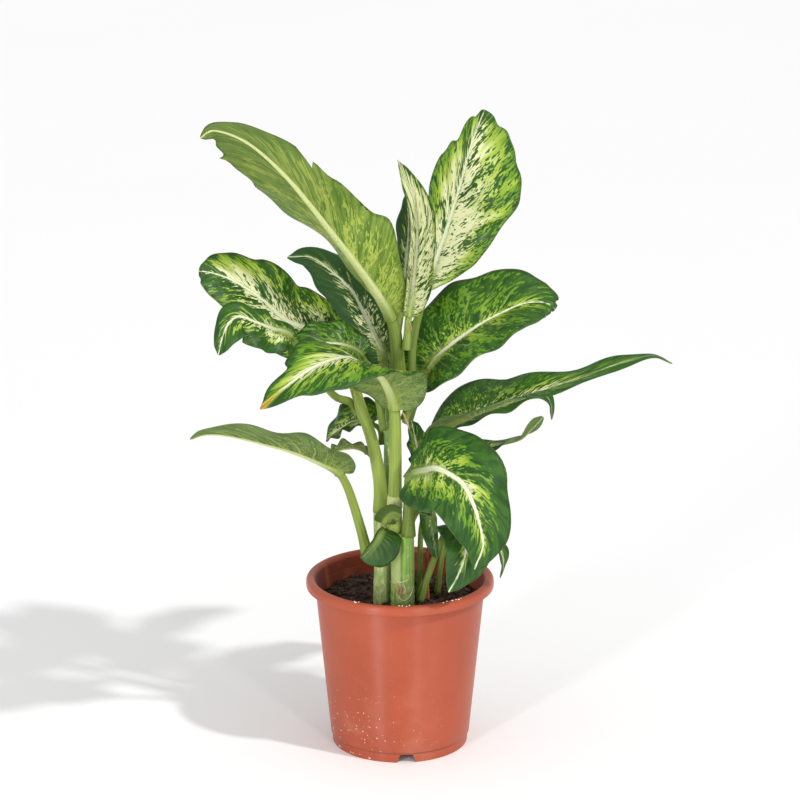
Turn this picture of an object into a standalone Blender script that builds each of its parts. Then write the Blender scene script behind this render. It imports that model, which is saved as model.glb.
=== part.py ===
"""Potted dieffenbachia: a moulded nursery pot, its soil, three canes and their variegated leaves.

Run with: blender --background --python part.py
Units are metres, +Z up. The origin is the middle of the pot's underside. The front is -Y.
"""
import math

import bpy
import numpy as np

# ---- Pot
POT_HEIGHT = 0.157
RIM_RADIUS = 0.085
LIP_HEIGHT = 0.0087
LIP_WALL = 0.0018
BODY_TOP_RADIUS = 0.0769
BODY_FOOT_RADIUS = 0.0632
WALL = 0.0024
UPPER_WALL = 0.0014
LEDGE_HEIGHT = 0.1435
FOOT_HEIGHT = 0.009
FOOT_STEP = 0.0015
FOOT_RING = 0.0022
FLOOR_UNDER = 0.0025
FLOOR_TOP = 0.0045
GATE_PAD_RADIUS = 0.0134
POT_STEPS = 48

# ---- Drain openings in the bottom edge
DRAIN_COUNT = 3
DRAIN_TURN = math.radians(-84.5)
DRAIN_WIDTH = 0.017
DRAIN_TOP_WIDTH = 0.012
DRAIN_HEIGHT = 0.0075
DRAIN_INNER_RADIUS = 0.050
DRAIN_OUTER_RADIUS = 0.068

# ---- Soil and clearances
SOIL_TOP = 0.1362
GAP = 0.0003

# ---- Leaf mesh
BLADE_SKIN = 0.0006
STALK_RINGS = 6
NECK_SHARE = 0.5
RING_SIDES = 8
BLADE_STATIONS = (0.07, 0.16, 0.27, 0.39, 0.51, 0.63, 0.73, 0.82, 0.90, 0.96)
BLADE_SECTION = (1.0, 0.5, 0.0, -0.5, -1.0)
ROUTE_STEPS = 12
VEIN_START = 2.2
VEIN_SWEEP = 1.15
LOBE_TURN = 0.22
WAVE_GROWTH = 1.6
WAVE_SHIFT = 0.37
RIB_DEPTH = 1.2
RIB_TAPER = 1.2

# ---- Leaf values where a leaf doesn't give its own
LEAF_DEFAULTS = dict(
    faces=[(0, 0, 1)],
    half=[(0.045, 0.045)],
    fold=[(20, 20)],
    bend=[(-20, -20)],
    wave=(0.003, 3.0, 0.0),
    lobe=0.014,
    centre=0.38,
    taper=1.15,
    base=0.85,
    stalk=(0.005, 0.0032),
)

# ---- Colours (linear) and roughness
TERRACOTTA = ((0.50, 0.105, 0.055), 0.42)
SOIL_BROWN = ((0.030, 0.014, 0.008), 0.95)
CANE_GREEN = ((0.165, 0.260, 0.050), 0.50)
LEAF_GREEN = ((0.075, 0.190, 0.035), 0.40)
DRY_BROWN = ((0.300, 0.090, 0.040), 0.80)
ROOT_WHITE = ((0.750, 0.700, 0.580), 0.70)


# ---------------------------------------------------------------- scene and materials

def clear_scene():
    for obj in list(bpy.data.objects):
        bpy.data.objects.remove(obj, do_unlink=True)


def new_collection(name):
    collection = bpy.data.collections.new(name)
    bpy.context.scene.collection.children.link(collection)
    return collection


def finish(obj, look):
    """Give the object its own Principled material"""
    colour, roughness = look
    material = bpy.data.materials.new(obj.name + "_material")
    material.use_nodes = True
    shader = material.node_tree.nodes["Principled BSDF"]
    shader.inputs["Base Color"].default_value = (*colour, 1.0)
    shader.inputs["Roughness"].default_value = roughness
    shader.inputs["Metallic"].default_value = 0.0
    obj.data.materials.append(material)


def mesh_object(name, collection, verts, edges=(), faces=()):
    mesh = bpy.data.meshes.new(name)
    mesh.from_pydata([tuple(v) for v in verts], list(edges), list(faces))
    mesh.update()
    obj = bpy.data.objects.new(name, mesh)
    collection.objects.link(obj)
    return obj


# ---------------------------------------------------------------- pot and soil

def body_radius(z):
    """Outer radius of the tapered wall at height z"""
    top = POT_HEIGHT - LIP_HEIGHT
    share = (z - FOOT_HEIGHT) / (top - FOOT_HEIGHT)
    return BODY_FOOT_RADIUS + (BODY_TOP_RADIUS - BODY_FOOT_RADIUS) * share


def arc(centre, radius, first, last, steps):
    """Points of an arc in the profile plane, angles in degrees"""
    angles = np.radians(np.linspace(first, last, steps + 1))
    return [(centre[0] + radius * math.cos(a), centre[1] + radius * math.sin(a)) for a in angles]


def pot_profile():
    """Section of the pot: floor top, inner wall, rolled lip, outer wall, foot band and underside"""
    inner_foot = body_radius(FLOOR_TOP) - WALL
    lip_bottom = POT_HEIGHT - LIP_HEIGHT
    roll = LIP_HEIGHT * 0.42
    roll_centre = (RIM_RADIUS - roll, POT_HEIGHT - roll)
    under_roll = roll - LIP_WALL
    foot = body_radius(FOOT_HEIGHT)
    points = [(0.0, FLOOR_TOP), (inner_foot - 0.003, FLOOR_TOP), (inner_foot, FLOOR_TOP + 0.003)]
    points += [(body_radius(LEDGE_HEIGHT) - WALL, LEDGE_HEIGHT)]
    points += [(body_radius(LEDGE_HEIGHT) - UPPER_WALL, LEDGE_HEIGHT + 0.0008)]
    points += [(body_radius(lip_bottom) - UPPER_WALL, lip_bottom + 0.002)]
    points += [(RIM_RADIUS - 0.0078, POT_HEIGHT - 0.0018), (RIM_RADIUS - 0.0062, POT_HEIGHT - 0.0003)]
    points += arc(roll_centre, roll, 90, 0, 4)
    points += [(RIM_RADIUS, lip_bottom + 0.0008), (RIM_RADIUS - 0.0008, lip_bottom)]
    points += [(RIM_RADIUS - LIP_WALL, lip_bottom + 0.0006)]
    points += arc(roll_centre, under_roll, 0, 90, 2)
    points += [(RIM_RADIUS - 0.0066, POT_HEIGHT - LIP_WALL - 0.0004)]
    points += [(BODY_TOP_RADIUS + 0.0003, lip_bottom + 0.003)]
    points += [(body_radius(lip_bottom), lip_bottom), (foot, FOOT_HEIGHT)]
    points += [(foot - FOOT_STEP, FOOT_HEIGHT - 0.0007), (foot - FOOT_STEP, 0.0005)]
    points += [(foot - FOOT_STEP - 0.0004, 0.0), (foot - FOOT_STEP - FOOT_RING, 0.0)]
    points += [(foot - FOOT_STEP - FOOT_RING, FLOOR_UNDER), (GATE_PAD_RADIUS + 0.0006, FLOOR_UNDER)]
    points += [(GATE_PAD_RADIUS, 0.0), (0.0, 0.0)]
    return points


def turned(name, collection, profile, steps):
    """Solid of revolution: a Screw modifier on a profile in the XZ plane"""
    verts = [(r, 0.0, z) for r, z in profile]
    edges = [(i, i + 1) for i in range(len(profile) - 1)]
    obj = mesh_object(name, collection, verts, edges)
    screw = obj.modifiers.new("turn", "SCREW")
    screw.steps = steps
    screw.render_steps = steps
    screw.use_merge_vertices = True
    screw.merge_threshold = 0.00005
    screw.use_smooth_shade = True
    return obj


def drain_cutter(index, cutters):
    """Tapered opening that cuts the foot band and the floor's edge"""
    wide = DRAIN_WIDTH / 2
    narrow = DRAIN_TOP_WIDTH / 2
    low = -0.002
    section = [(-wide, low), (wide, low), (narrow, DRAIN_HEIGHT), (-narrow, DRAIN_HEIGHT)]
    verts = [(DRAIN_INNER_RADIUS, y, z) for y, z in section]
    verts += [(DRAIN_OUTER_RADIUS, y, z) for y, z in section]
    faces = [(3, 2, 1, 0), (4, 5, 6, 7)]
    faces += [(k, (k + 1) % 4, 4 + (k + 1) % 4, 4 + k) for k in range(4)]
    cutter = mesh_object("drain_cutter_%d" % index, cutters, verts, faces=faces)
    cutter.rotation_euler = (0.0, 0.0, DRAIN_TURN + index * math.tau / DRAIN_COUNT)
    cutter.hide_render = True
    cutter.display_type = "WIRE"
    return cutter


def make_pot(parts, cutters):
    pot = turned("pot", parts, pot_profile(), POT_STEPS)
    for index in range(DRAIN_COUNT):
        cut = pot.modifiers.new("drain_%d" % index, "BOOLEAN")
        cut.operation = "DIFFERENCE"
        cut.solver = "EXACT"
        cut.object = drain_cutter(index, cutters)
    finish(pot, TERRACOTTA)


def make_soil(parts):
    """Soil plug, a gap inside the wall and above the floor, with a soft shoulder at its top edge"""
    bottom = FLOOR_TOP + GAP
    clear = WALL + GAP
    shoulder = SOIL_TOP - 0.003
    top_radius = body_radius(shoulder) - clear
    profile = [(0.0, SOIL_TOP), (top_radius - 0.004, SOIL_TOP), (top_radius, shoulder)]
    profile += [(body_radius(bottom + 0.004) - clear - GAP, bottom + 0.004)]
    profile += [(body_radius(bottom) - clear - 0.004, bottom), (0.0, bottom)]
    soil = turned("soil", parts, profile, POT_STEPS)
    finish(soil, SOIL_BROWN)


# ---------------------------------------------------------------- routes and tubes

def unit(v):
    v = np.asarray(v, float)
    return v / np.maximum(np.linalg.norm(v, axis=-1, keepdims=True), 1e-12)


def smooth_route(points, steps=ROUTE_STEPS):
    """Smooth curve through the given points"""
    p = np.array(points, float)
    extended = np.vstack([2 * p[0] - p[1], p, 2 * p[-1] - p[-2]])
    out = []
    for a, b, c, d in zip(extended, extended[1:], extended[2:], extended[3:]):
        for t in np.arange(steps) / steps:
            out.append(0.5 * (2 * b + (c - a) * t + (2 * a - 5 * b + 4 * c - d) * t ** 2
                              + (3 * b - a - 3 * c + d) * t ** 3))
    out.append(p[-1])
    return np.array(out)


def tube(name, parts, points, radii, look, steps=4):
    """Round stem along a smooth route, with its radius running from the first value to the last"""
    route = smooth_route(points, steps)
    curve = bpy.data.curves.new(name, "CURVE")
    curve.dimensions = "3D"
    curve.bevel_depth = 1.0
    curve.bevel_resolution = 4
    curve.use_fill_caps = True
    spline = curve.splines.new("POLY")
    spline.points.add(len(route) - 1)
    for k, place in enumerate(route):
        spline.points[k].co = (*place, 1.0)
        share = k / (len(route) - 1)
        spline.points[k].radius = radii[0] + (radii[1] - radii[0]) * share
    obj = bpy.data.objects.new(name, curve)
    parts.objects.link(obj)
    finish(obj, look)


# ---------------------------------------------------------------- leaves

def blend(stations, k):
    """Values given at even stations from the joint (k = 0) to the tip (k = 1), read at k"""
    table = np.array(stations, float)
    if len(table) == 1:
        return np.broadcast_to(table[0], np.shape(k) + (table.shape[1],))
    place = np.clip(np.asarray(k, float), 0, 1) * (len(table) - 1)
    low = np.minimum(place.astype(int), len(table) - 2)
    share = (place - low)[..., None]
    share = share * share * (3 - 2 * share)
    return table[low] * (1 - share) + table[low + 1] * share


class Leaf:
    """One leaf: a round petiole, then a blade that hangs on the midrib.

    petiole, midrib   points of the route, from the cane to the tip; the blade starts after the petiole
    faces             directions that the blade's upper side looks in, at even stations along the midrib
    half              widths of the left and right half
    fold, bend        slope of each half at the midrib and its added turn out to the margin, in degrees
    wave              height, number and phase of the margin's waves
    lobe              how far the base hangs back past the joint: one value, or one for each half
    centre            share of the midrib where the margin's two arcs meet
    taper, base       how pointed the tip and the base are
    stalk             radius of the petiole where it leaves the cane and where it meets the blade
    """

    def __init__(self, name, petiole, midrib, **values):
        self.name = name
        for key, value in {**LEAF_DEFAULTS, **values}.items():
            setattr(self, key, value)
        self.lobes = self.lobe if isinstance(self.lobe, tuple) else (self.lobe, self.lobe)
        self.route = smooth_route(list(petiole) + list(midrib))
        steps = np.linalg.norm(np.diff(self.route, axis=0), axis=1)
        self.length = np.concatenate([[0.0], np.cumsum(steps)])
        self.joint = self.length[ROUTE_STEPS * (len(petiole) - 1)]
        self.long = self.length[-1] - self.joint

    def on_route(self, s):
        s = np.asarray(s, float)
        return np.stack([np.interp(s, self.length, self.route[:, i]) for i in range(3)], -1)

    def along(self, s):
        reach = 0.004
        low = np.clip(np.asarray(s) - reach, 0, self.length[-1])
        high = np.clip(np.asarray(s) + reach, 0, self.length[-1])
        return unit(self.on_route(high) - self.on_route(low))

    def frame(self, s):
        """Direction, right-hand side and upper normal at distance s past the joint"""
        s = np.asarray(s, float)
        run = self.along(self.joint + np.maximum(s, 0.0))
        face = blend(self.faces, np.clip(s / self.long, 0, 1))
        side = unit(np.cross(run, face))
        return run, side, np.cross(side, run)

    def outline(self, t, v):
        """Margin of the flat blade: distance along the midrib and share of the half width"""
        turn = math.pi * (np.asarray(t, float) - 0.5)
        middle = self.centre * self.long
        wide = np.cos(turn)
        wide = np.where(turn < 0, wide ** self.base, wide ** self.taper)
        lobe = np.where(v > 0, self.lobes[1], self.lobes[0])
        low = -(middle + lobe) * np.abs(np.sin(turn)) + lobe * np.exp(-(wide / LOBE_TURN) ** 2)
        high = (self.long - middle) * np.sin(turn)
        return middle + np.where(turn < 0, low, high), wide

    def place(self, t, v, lift):
        """Point of the blade: t from base to tip along the veins, v from left (-1) to right (1)"""
        edge, wide = self.outline(t, v)
        start = self.long * t ** VEIN_START
        across = np.abs(v)
        s = start + (edge - start) * across ** VEIN_SWEEP
        k = np.clip(s / self.long, 0, 1)
        right = v > 0
        halves = blend(self.half, t)
        half = np.where(right, halves[..., 1], halves[..., 0])
        folds = np.radians(blend(self.fold, k))
        bends = np.radians(blend(self.bend, k))
        fold = np.where(right, folds[..., 1], folds[..., 0])
        bend = np.where(right, bends[..., 1], bends[..., 0])
        bend = np.where(np.abs(bend) < 0.001, 0.001, bend)
        r = wide * across
        lean = fold + bend * r
        out = half * (np.sin(lean) - np.sin(fold)) / bend
        rise = half * (np.cos(fold) - np.cos(lean)) / bend
        height, count, phase = self.wave
        turns = count * s / self.long + phase + WAVE_SHIFT * right
        ripple = height * r ** WAVE_GROWTH * np.sin(math.tau * turns)
        on_blade = np.clip(s, 0, self.long)
        run, side, up = self.frame(on_blade)
        sign = np.where(right, 1.0, -1.0)[..., None]
        normal = up * np.cos(lean)[..., None] - side * sign * np.sin(lean)[..., None]
        middle = self.on_route(self.joint + on_blade) + run * np.minimum(s, 0.0)[..., None]
        return (middle + side * sign * out[..., None] + up * rise[..., None]
                + normal * (ripple + lift)[..., None])

    def stalk_rings(self):
        """Round sections of the petiole, from its foot to just behind the lobes, with no twist"""
        side = self.frame(np.array([0.0]))[1][0]
        angles = np.arange(RING_SIDES) * math.tau / RING_SIDES
        neck = max(self.joint - max(self.lobes) - self.stalk[1], NECK_SHARE * self.joint)
        rings = []
        for share in np.linspace(1.0, 0.0, STALK_RINGS):
            run = self.along(neck * share)
            side = unit(side - run * (side @ run))
            up = np.cross(side, run)
            radius = self.stalk[0] + (self.stalk[1] - self.stalk[0]) * share ** 0.7
            around = side * np.cos(angles)[:, None] + up * np.sin(angles)[:, None]
            rings.append(self.on_route(neck * share) + around * radius)
        return rings[::-1]

    def blade_rings(self):
        """Thin sections of the blade, with the rib standing out under it

        The skins lie on both sides of the middle surface, along its own normals, so they never cross.
        """
        t, v = np.meshgrid(BLADE_STATIONS, BLADE_SECTION, indexing="ij")
        middle = self.place(t, v, np.zeros(t.shape))
        tip = np.broadcast_to(self.on_route(self.length[-1]), middle[:1].shape)
        onward = np.gradient(np.concatenate([middle, tip]), axis=0)[:-1]
        across = np.gradient(middle, axis=1)
        normal = unit(np.cross(onward, across))
        upper = middle + normal * BLADE_SKIN
        lower = middle - normal * BLADE_SKIN
        ribs = RIB_DEPTH * self.stalk[1] * (1 - np.array(BLADE_STATIONS)) ** RIB_TAPER
        centre = len(BLADE_SECTION) // 2
        lower[:, centre] -= normal[:, centre] * ribs[:, None]
        top = [middle[:, :1], upper[:, 1:-1], middle[:, -1:]]
        return list(np.concatenate(top + [lower[:, -2:0:-1]], axis=1))

    def build(self, parts):
        """Loft from the petiole's round sections to the blade's thin ones, closed at both ends

        Each quad is split along its shorter diagonal, and the quad under it along the same one, so that the
        two skins of a twisted blade stay apart.
        """
        rings = self.stalk_rings() + self.blade_rings()
        n = RING_SIDES
        verts = np.vstack(rings + [self.on_route(self.length[-1])[None], self.on_route(0.0)[None]])
        tip = len(verts) - 2
        root = len(verts) - 1
        last = (len(rings) - 1) * n
        faces = []
        for i in range(len(rings) - 1):
            near = rings[i]
            far = rings[i + 1]
            for k in range(n):
                upper = k < n // 2
                c = k if upper else n - k - 1
                onward = np.linalg.norm(near[c] - far[c + 1]) < np.linalg.norm(near[c + 1] - far[c])
                a = i * n + k
                b = i * n + (k + 1) % n
                if onward == upper:
                    faces += [(a, b + n, b), (a, a + n, b + n)]
                else:
                    faces += [(a, a + n, b), (b, a + n, b + n)]
        for k in range(n):
            faces += [(last + k, tip, last + (k + 1) % n), (k, (k + 1) % n, root)]
        obj = mesh_object(self.name, parts, verts, faces=faces)
        obj.data.shade_smooth()
        finish(obj, LEAF_GREEN)


def crown_leaves():
    """Leaves at the top: the big backlit one, the upright one, the rolled new one and those behind"""
    return [
        Leaf("leaf_upper_left",
             petiole=[(-0.002, -0.010, 0.350), (-0.003, -0.013, 0.378), (-0.008, -0.018, 0.403)],
             midrib=[(-0.026, -0.035, 0.439), (-0.058, -0.065, 0.491), (-0.093, -0.095, 0.544),
                     (-0.125, -0.118, 0.580), (-0.153, -0.128, 0.594), (-0.166, -0.130, 0.588)],
             faces=[(0.25, 0.85, 0.25)],
             half=[(0.044, 0.036), (0.038, 0.049), (0.031, 0.049), (0.023, 0.043)],
             fold=[(25, 50), (30, 42), (25, 15), (15, 5)], bend=[(-10, 0), (-20, 0), (-20, -20)],
             wave=(0.004, 3.0, 0.1), lobe=0.0, centre=0.36, taper=1.35, base=1.0,
             stalk=(0.0073, 0.0050)),
        Leaf("leaf_upper_right",
             petiole=[(0.010, -0.004, 0.340), (0.012, -0.002, 0.380), (0.022, 0.012, 0.419)],
             midrib=[(0.031, 0.024, 0.444), (0.039, 0.033, 0.464), (0.048, 0.045, 0.491),
                     (0.055, 0.052, 0.513), (0.063, 0.058, 0.542), (0.075, 0.060, 0.574)],
             faces=[(0.35, -0.85, 0.30)],
             half=[(0.028, 0.022), (0.032, 0.042), (0.032, 0.057), (0.022, 0.050)],
             fold=[(25, 20)], bend=[(-10, -25)], lobe=0.0, centre=0.5, taper=1.05, base=1.2,
             stalk=(0.0040, 0.0035)),
        Leaf("leaf_rolled_new",
             petiole=[(0.0055, -0.0215, 0.375), (0.0065, -0.0195, 0.390), (0.0075, -0.0175, 0.404)],
             midrib=[(0.0115, -0.0155, 0.433), (0.015, -0.018, 0.474), (0.013, -0.016, 0.505),
                     (0.006, -0.014, 0.526), (-0.002, -0.012, 0.544)],
             faces=[(0.1, -0.9, 0.1)], half=[(0.019, 0.026)], fold=[(30, 30)], bend=[(70, 50)],
             wave=(0.001, 2.0, 0.0), lobe=0.0, centre=0.45, taper=2.1, stalk=(0.0035, 0.0030)),
        Leaf("leaf_back_centre",
             petiole=[(-0.004, 0.010, 0.345), (-0.003, 0.014, 0.372), (0.001, 0.022, 0.400)],
             midrib=[(0.006, 0.036, 0.442), (0.008, 0.046, 0.472), (0.007, 0.050, 0.500)],
             faces=[(-0.7, -0.6, 0.2)], half=[(0.016, 0.026)], lobe=0.004, stalk=(0.0035, 0.0030)),
    ]


def left_leaves():
    """Leaves that leave the canes to the left, from the top down"""
    return [
        Leaf("leaf_left",
             petiole=[(-0.017, -0.011, 0.222), (-0.018, -0.010, 0.251), (-0.025, -0.010, 0.289),
                      (-0.034, -0.008, 0.316), (-0.043, -0.002, 0.345), (-0.051, 0.000, 0.369)],
             midrib=[(-0.071, -0.012, 0.388), (-0.099, -0.027, 0.403), (-0.120, -0.038, 0.425),
                     (-0.141, -0.046, 0.442), (-0.160, -0.052, 0.452), (-0.174, -0.055, 0.455)],
             faces=[(0.3, -0.7, 0.6)], half=[(0.030, 0.030), (0.036, 0.036), (0.036, 0.034), (0.044, 0.024)],
             fold=[(10, 20)], bend=[(-20, -15)], lobe=0.006, centre=0.45, taper=0.8,
             stalk=(0.0068, 0.0045)),
        Leaf("leaf_left_drooping",
             petiole=[(-0.020, 0.010, 0.258), (-0.028, 0.010, 0.290), (-0.042, 0.004, 0.318),
                      (-0.058, -0.034, 0.337), (-0.077, -0.064, 0.373), (-0.095, -0.074, 0.402)],
             midrib=[(-0.110, -0.084, 0.411), (-0.124, -0.094, 0.420), (-0.139, -0.100, 0.426),
                     (-0.149, -0.106, 0.416), (-0.155, -0.110, 0.395)],
             faces=[(0.2, -0.6, 0.8), (0.0, -0.6, 0.8), (-0.5, -0.6, 0.4)], half=[(0.026, 0.016)],
             fold=[(10, 15)], bend=[(-40, -20)], lobe=0.006, taper=1.4, stalk=(0.0042, 0.0030)),
        Leaf("leaf_back_left",
             petiole=[(-0.016, 0.018, 0.300), (-0.016, 0.019, 0.330), (-0.015, 0.021, 0.354)],
             midrib=[(-0.024, 0.036, 0.374), (-0.035, 0.054, 0.393), (-0.045, 0.068, 0.407),
                     (-0.063, 0.085, 0.420), (-0.082, 0.095, 0.430), (-0.103, 0.100, 0.429)],
             faces=[(0.3, -0.6, 0.75)], half=[(0.036, 0.034), (0.034, 0.028), (0.028, 0.018)],
             fold=[(20, 20)], bend=[(-20, -10)], lobe=0.006, taper=1.4, stalk=(0.0045, 0.0040)),
        Leaf("leaf_curled_inner",
             petiole=[(-0.0145, -0.0165, 0.300), (-0.021, -0.019, 0.335), (-0.034, -0.022, 0.370)],
             midrib=[(-0.057, -0.033, 0.384), (-0.079, -0.045, 0.384), (-0.095, -0.052, 0.376)],
             faces=[(-0.1, -0.5, 0.8)], half=[(0.016, 0.024)], fold=[(10, 25)], bend=[(-30, -10)],
             lobe=0.004, stalk=(0.0034, 0.0028)),
        Leaf("leaf_front_left",
             petiole=[(-0.0050, -0.0275, 0.208), (-0.0045, -0.0295, 0.240), (-0.004, -0.032, 0.290),
                      (-0.005, -0.034, 0.326)],
             midrib=[(-0.010, -0.042, 0.346), (-0.020, -0.056, 0.365), (-0.033, -0.072, 0.378),
                     (-0.048, -0.088, 0.387), (-0.073, -0.112, 0.385), (-0.101, -0.132, 0.370),
                     (-0.119, -0.140, 0.356)],
             faces=[(0.3, 0.85, 0.3), (0.04, 0.82, 0.53), (0.16, 0.28, 0.83), (0.2, -0.15, 0.93),
                    (0.2, -0.45, 0.85), (0.2, -0.5, 0.8), (0.0, -0.5, 0.8)],
             half=[(0.046, 0.034), (0.044, 0.034), (0.038, 0.031), (0.036, 0.020)],
             fold=[(5, 15)], bend=[(-20, -20)], lobe=0.006, centre=0.36, taper=1.6,
             stalk=(0.0070, 0.0050)),
        Leaf("leaf_left_low",
             petiole=[(-0.0295, -0.016, 0.184), (-0.034, -0.020, 0.205), (-0.041, -0.027, 0.233),
                      (-0.047, -0.035, 0.254), (-0.054, -0.044, 0.269)],
             midrib=[(-0.066, -0.056, 0.280), (-0.090, -0.073, 0.296), (-0.115, -0.087, 0.308),
                     (-0.145, -0.098, 0.319), (-0.167, -0.102, 0.322), (-0.181, -0.104, 0.318)],
             faces=[(0.3, 0.2, 0.9)], half=[(0.028, 0.035)], fold=[(45, 10), (45, 10), (40, 10)],
             bend=[(-10, -20)], lobe=0.012, taper=1.4, stalk=(0.0052, 0.0038)),
        Leaf("leaf_back_left_low",
             petiole=[(-0.016, 0.017, 0.276), (-0.018, 0.023, 0.288), (-0.026, 0.030, 0.292)],
             midrib=[(-0.036, 0.036, 0.292), (-0.046, 0.042, 0.288), (-0.057, 0.048, 0.279),
                     (-0.067, 0.054, 0.269)],
             faces=[(0.1, -0.4, 0.9)], half=[(0.018, 0.030)], lobe=0.006, stalk=(0.0030, 0.0022)),
        Leaf("leaf_back_inner_left",
             petiole=[(-0.016, 0.014, 0.240), (-0.022, 0.020, 0.258), (-0.030, 0.027, 0.266)],
             midrib=[(-0.040, 0.033, 0.268), (-0.050, 0.040, 0.265), (-0.060, 0.048, 0.259)],
             faces=[(0.2, 0.5, 0.9), (-0.2, 0.5, 0.9)], half=[(0.016, 0.018)], lobe=0.004,
             stalk=(0.0028, 0.0022)),
    ]


def right_leaves():
    """Leaves that leave the canes to the right, from the top down"""
    return [
        Leaf("leaf_right_mid",
             petiole=[(0.006, 0.004, 0.300), (0.012, 0.004, 0.318), (0.019, 0.003, 0.336),
                      (0.027, 0.002, 0.352)],
             midrib=[(0.043, 0.004, 0.370), (0.071, 0.008, 0.390), (0.093, 0.012, 0.401),
                     (0.111, 0.014, 0.408), (0.129, 0.016, 0.408), (0.138, 0.016, 0.402)],
             faces=[(-0.3, -0.55, 0.75)], half=[(0.048, 0.050), (0.048, 0.044), (0.036, 0.050)],
             fold=[(25, 25)], bend=[(-15, -20)], lobe=0.022, centre=0.42, taper=1.1,
             stalk=(0.0045, 0.0040)),
        Leaf("leaf_right_long",
             petiole=[(0.010, -0.012, 0.250), (0.018, -0.013, 0.272), (0.029, -0.014, 0.289),
                      (0.042, -0.016, 0.303)],
             midrib=[(0.062, -0.020, 0.315), (0.090, -0.027, 0.328), (0.122, -0.032, 0.340),
                     (0.158, -0.034, 0.353), (0.195, -0.034, 0.367), (0.222, -0.030, 0.372),
                     (0.240, -0.026, 0.364)],
             faces=[(-0.3, -0.25, 0.95)],
             half=[(0.036, 0.040), (0.046, 0.034), (0.019, 0.015), (0.012, 0.011)],
             fold=[(15, 50), (15, 30), (10, 0), (5, 0)], bend=[(-10, -10)], lobe=0.022, centre=0.28,
             taper=1.7, stalk=(0.0045, 0.0040)),
        Leaf("leaf_right_curl",
             petiole=[(0.006, 0.012, 0.245), (0.022, 0.020, 0.268), (0.045, 0.030, 0.287)],
             midrib=[(0.081, 0.045, 0.300), (0.109, 0.055, 0.309), (0.126, 0.060, 0.312),
                     (0.136, 0.060, 0.304), (0.1385, 0.058, 0.287)],
             faces=[(-0.3, -0.2, 0.9), (0.0, -0.3, 1.0), (0.7, -0.3, 0.6)], half=[(0.016, 0.015)],
             lobe=0.006, taper=1.5, stalk=(0.0040, 0.0030)),
        Leaf("leaf_right_tip",
             petiole=[(0.007, 0.004, 0.215), (0.018, 0.012, 0.236), (0.036, 0.020, 0.252)],
             midrib=[(0.063, 0.028, 0.264), (0.090, 0.036, 0.270), (0.109, 0.040, 0.274),
                     (0.120, 0.042, 0.284), (0.130, 0.044, 0.294)],
             faces=[(-0.2, -0.4, 0.9), (-0.2, 0.0, 1.0), (-0.3, 0.8, 0.5)],
             half=[(0.014, 0.024), (0.010, 0.014), (0.016, 0.012), (0.018, 0.012)],
             lobe=0.006, taper=0.9, stalk=(0.0040, 0.0030)),
        Leaf("leaf_inner_right",
             petiole=[(0.014, -0.002, 0.232), (0.016, 0.000, 0.245), (0.017, 0.001, 0.258)],
             midrib=[(0.016, -0.002, 0.274), (0.013, -0.006, 0.291), (0.010, -0.008, 0.306)],
             faces=[(0.4, -0.8, 0.2)], half=[(0.010, 0.012)], fold=[(20, 20)], lobe=0.004,
             stalk=(0.0025, 0.0020)),
        Leaf("leaf_lower_right",
             petiole=[(0.0072, -0.0365, 0.208), (0.0074, -0.039, 0.235), (0.0074, -0.048, 0.257),
                      (0.0080, -0.056, 0.268), (0.0125, -0.060, 0.2735)],
             midrib=[(0.0215, -0.066, 0.2775), (0.031, -0.076, 0.283), (0.043, -0.086, 0.281),
                     (0.055, -0.094, 0.274), (0.062, -0.100, 0.262), (0.068, -0.104, 0.245),
                     (0.072, -0.104, 0.222), (0.065, -0.100, 0.198)],
             faces=[(0.0, -0.8, 0.6), (0.05, -0.9, 0.5), (0.3, -0.9, 0.3), (0.4, -0.9, 0.1)],
             half=[(0.034, 0.040), (0.046, 0.046), (0.036, 0.031), (0.028, 0.015)],
             fold=[(5, 5)], bend=[(-15, -20)], lobe=(0.004, 0.026), taper=1.3, stalk=(0.0064, 0.0042)),
    ]


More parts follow.
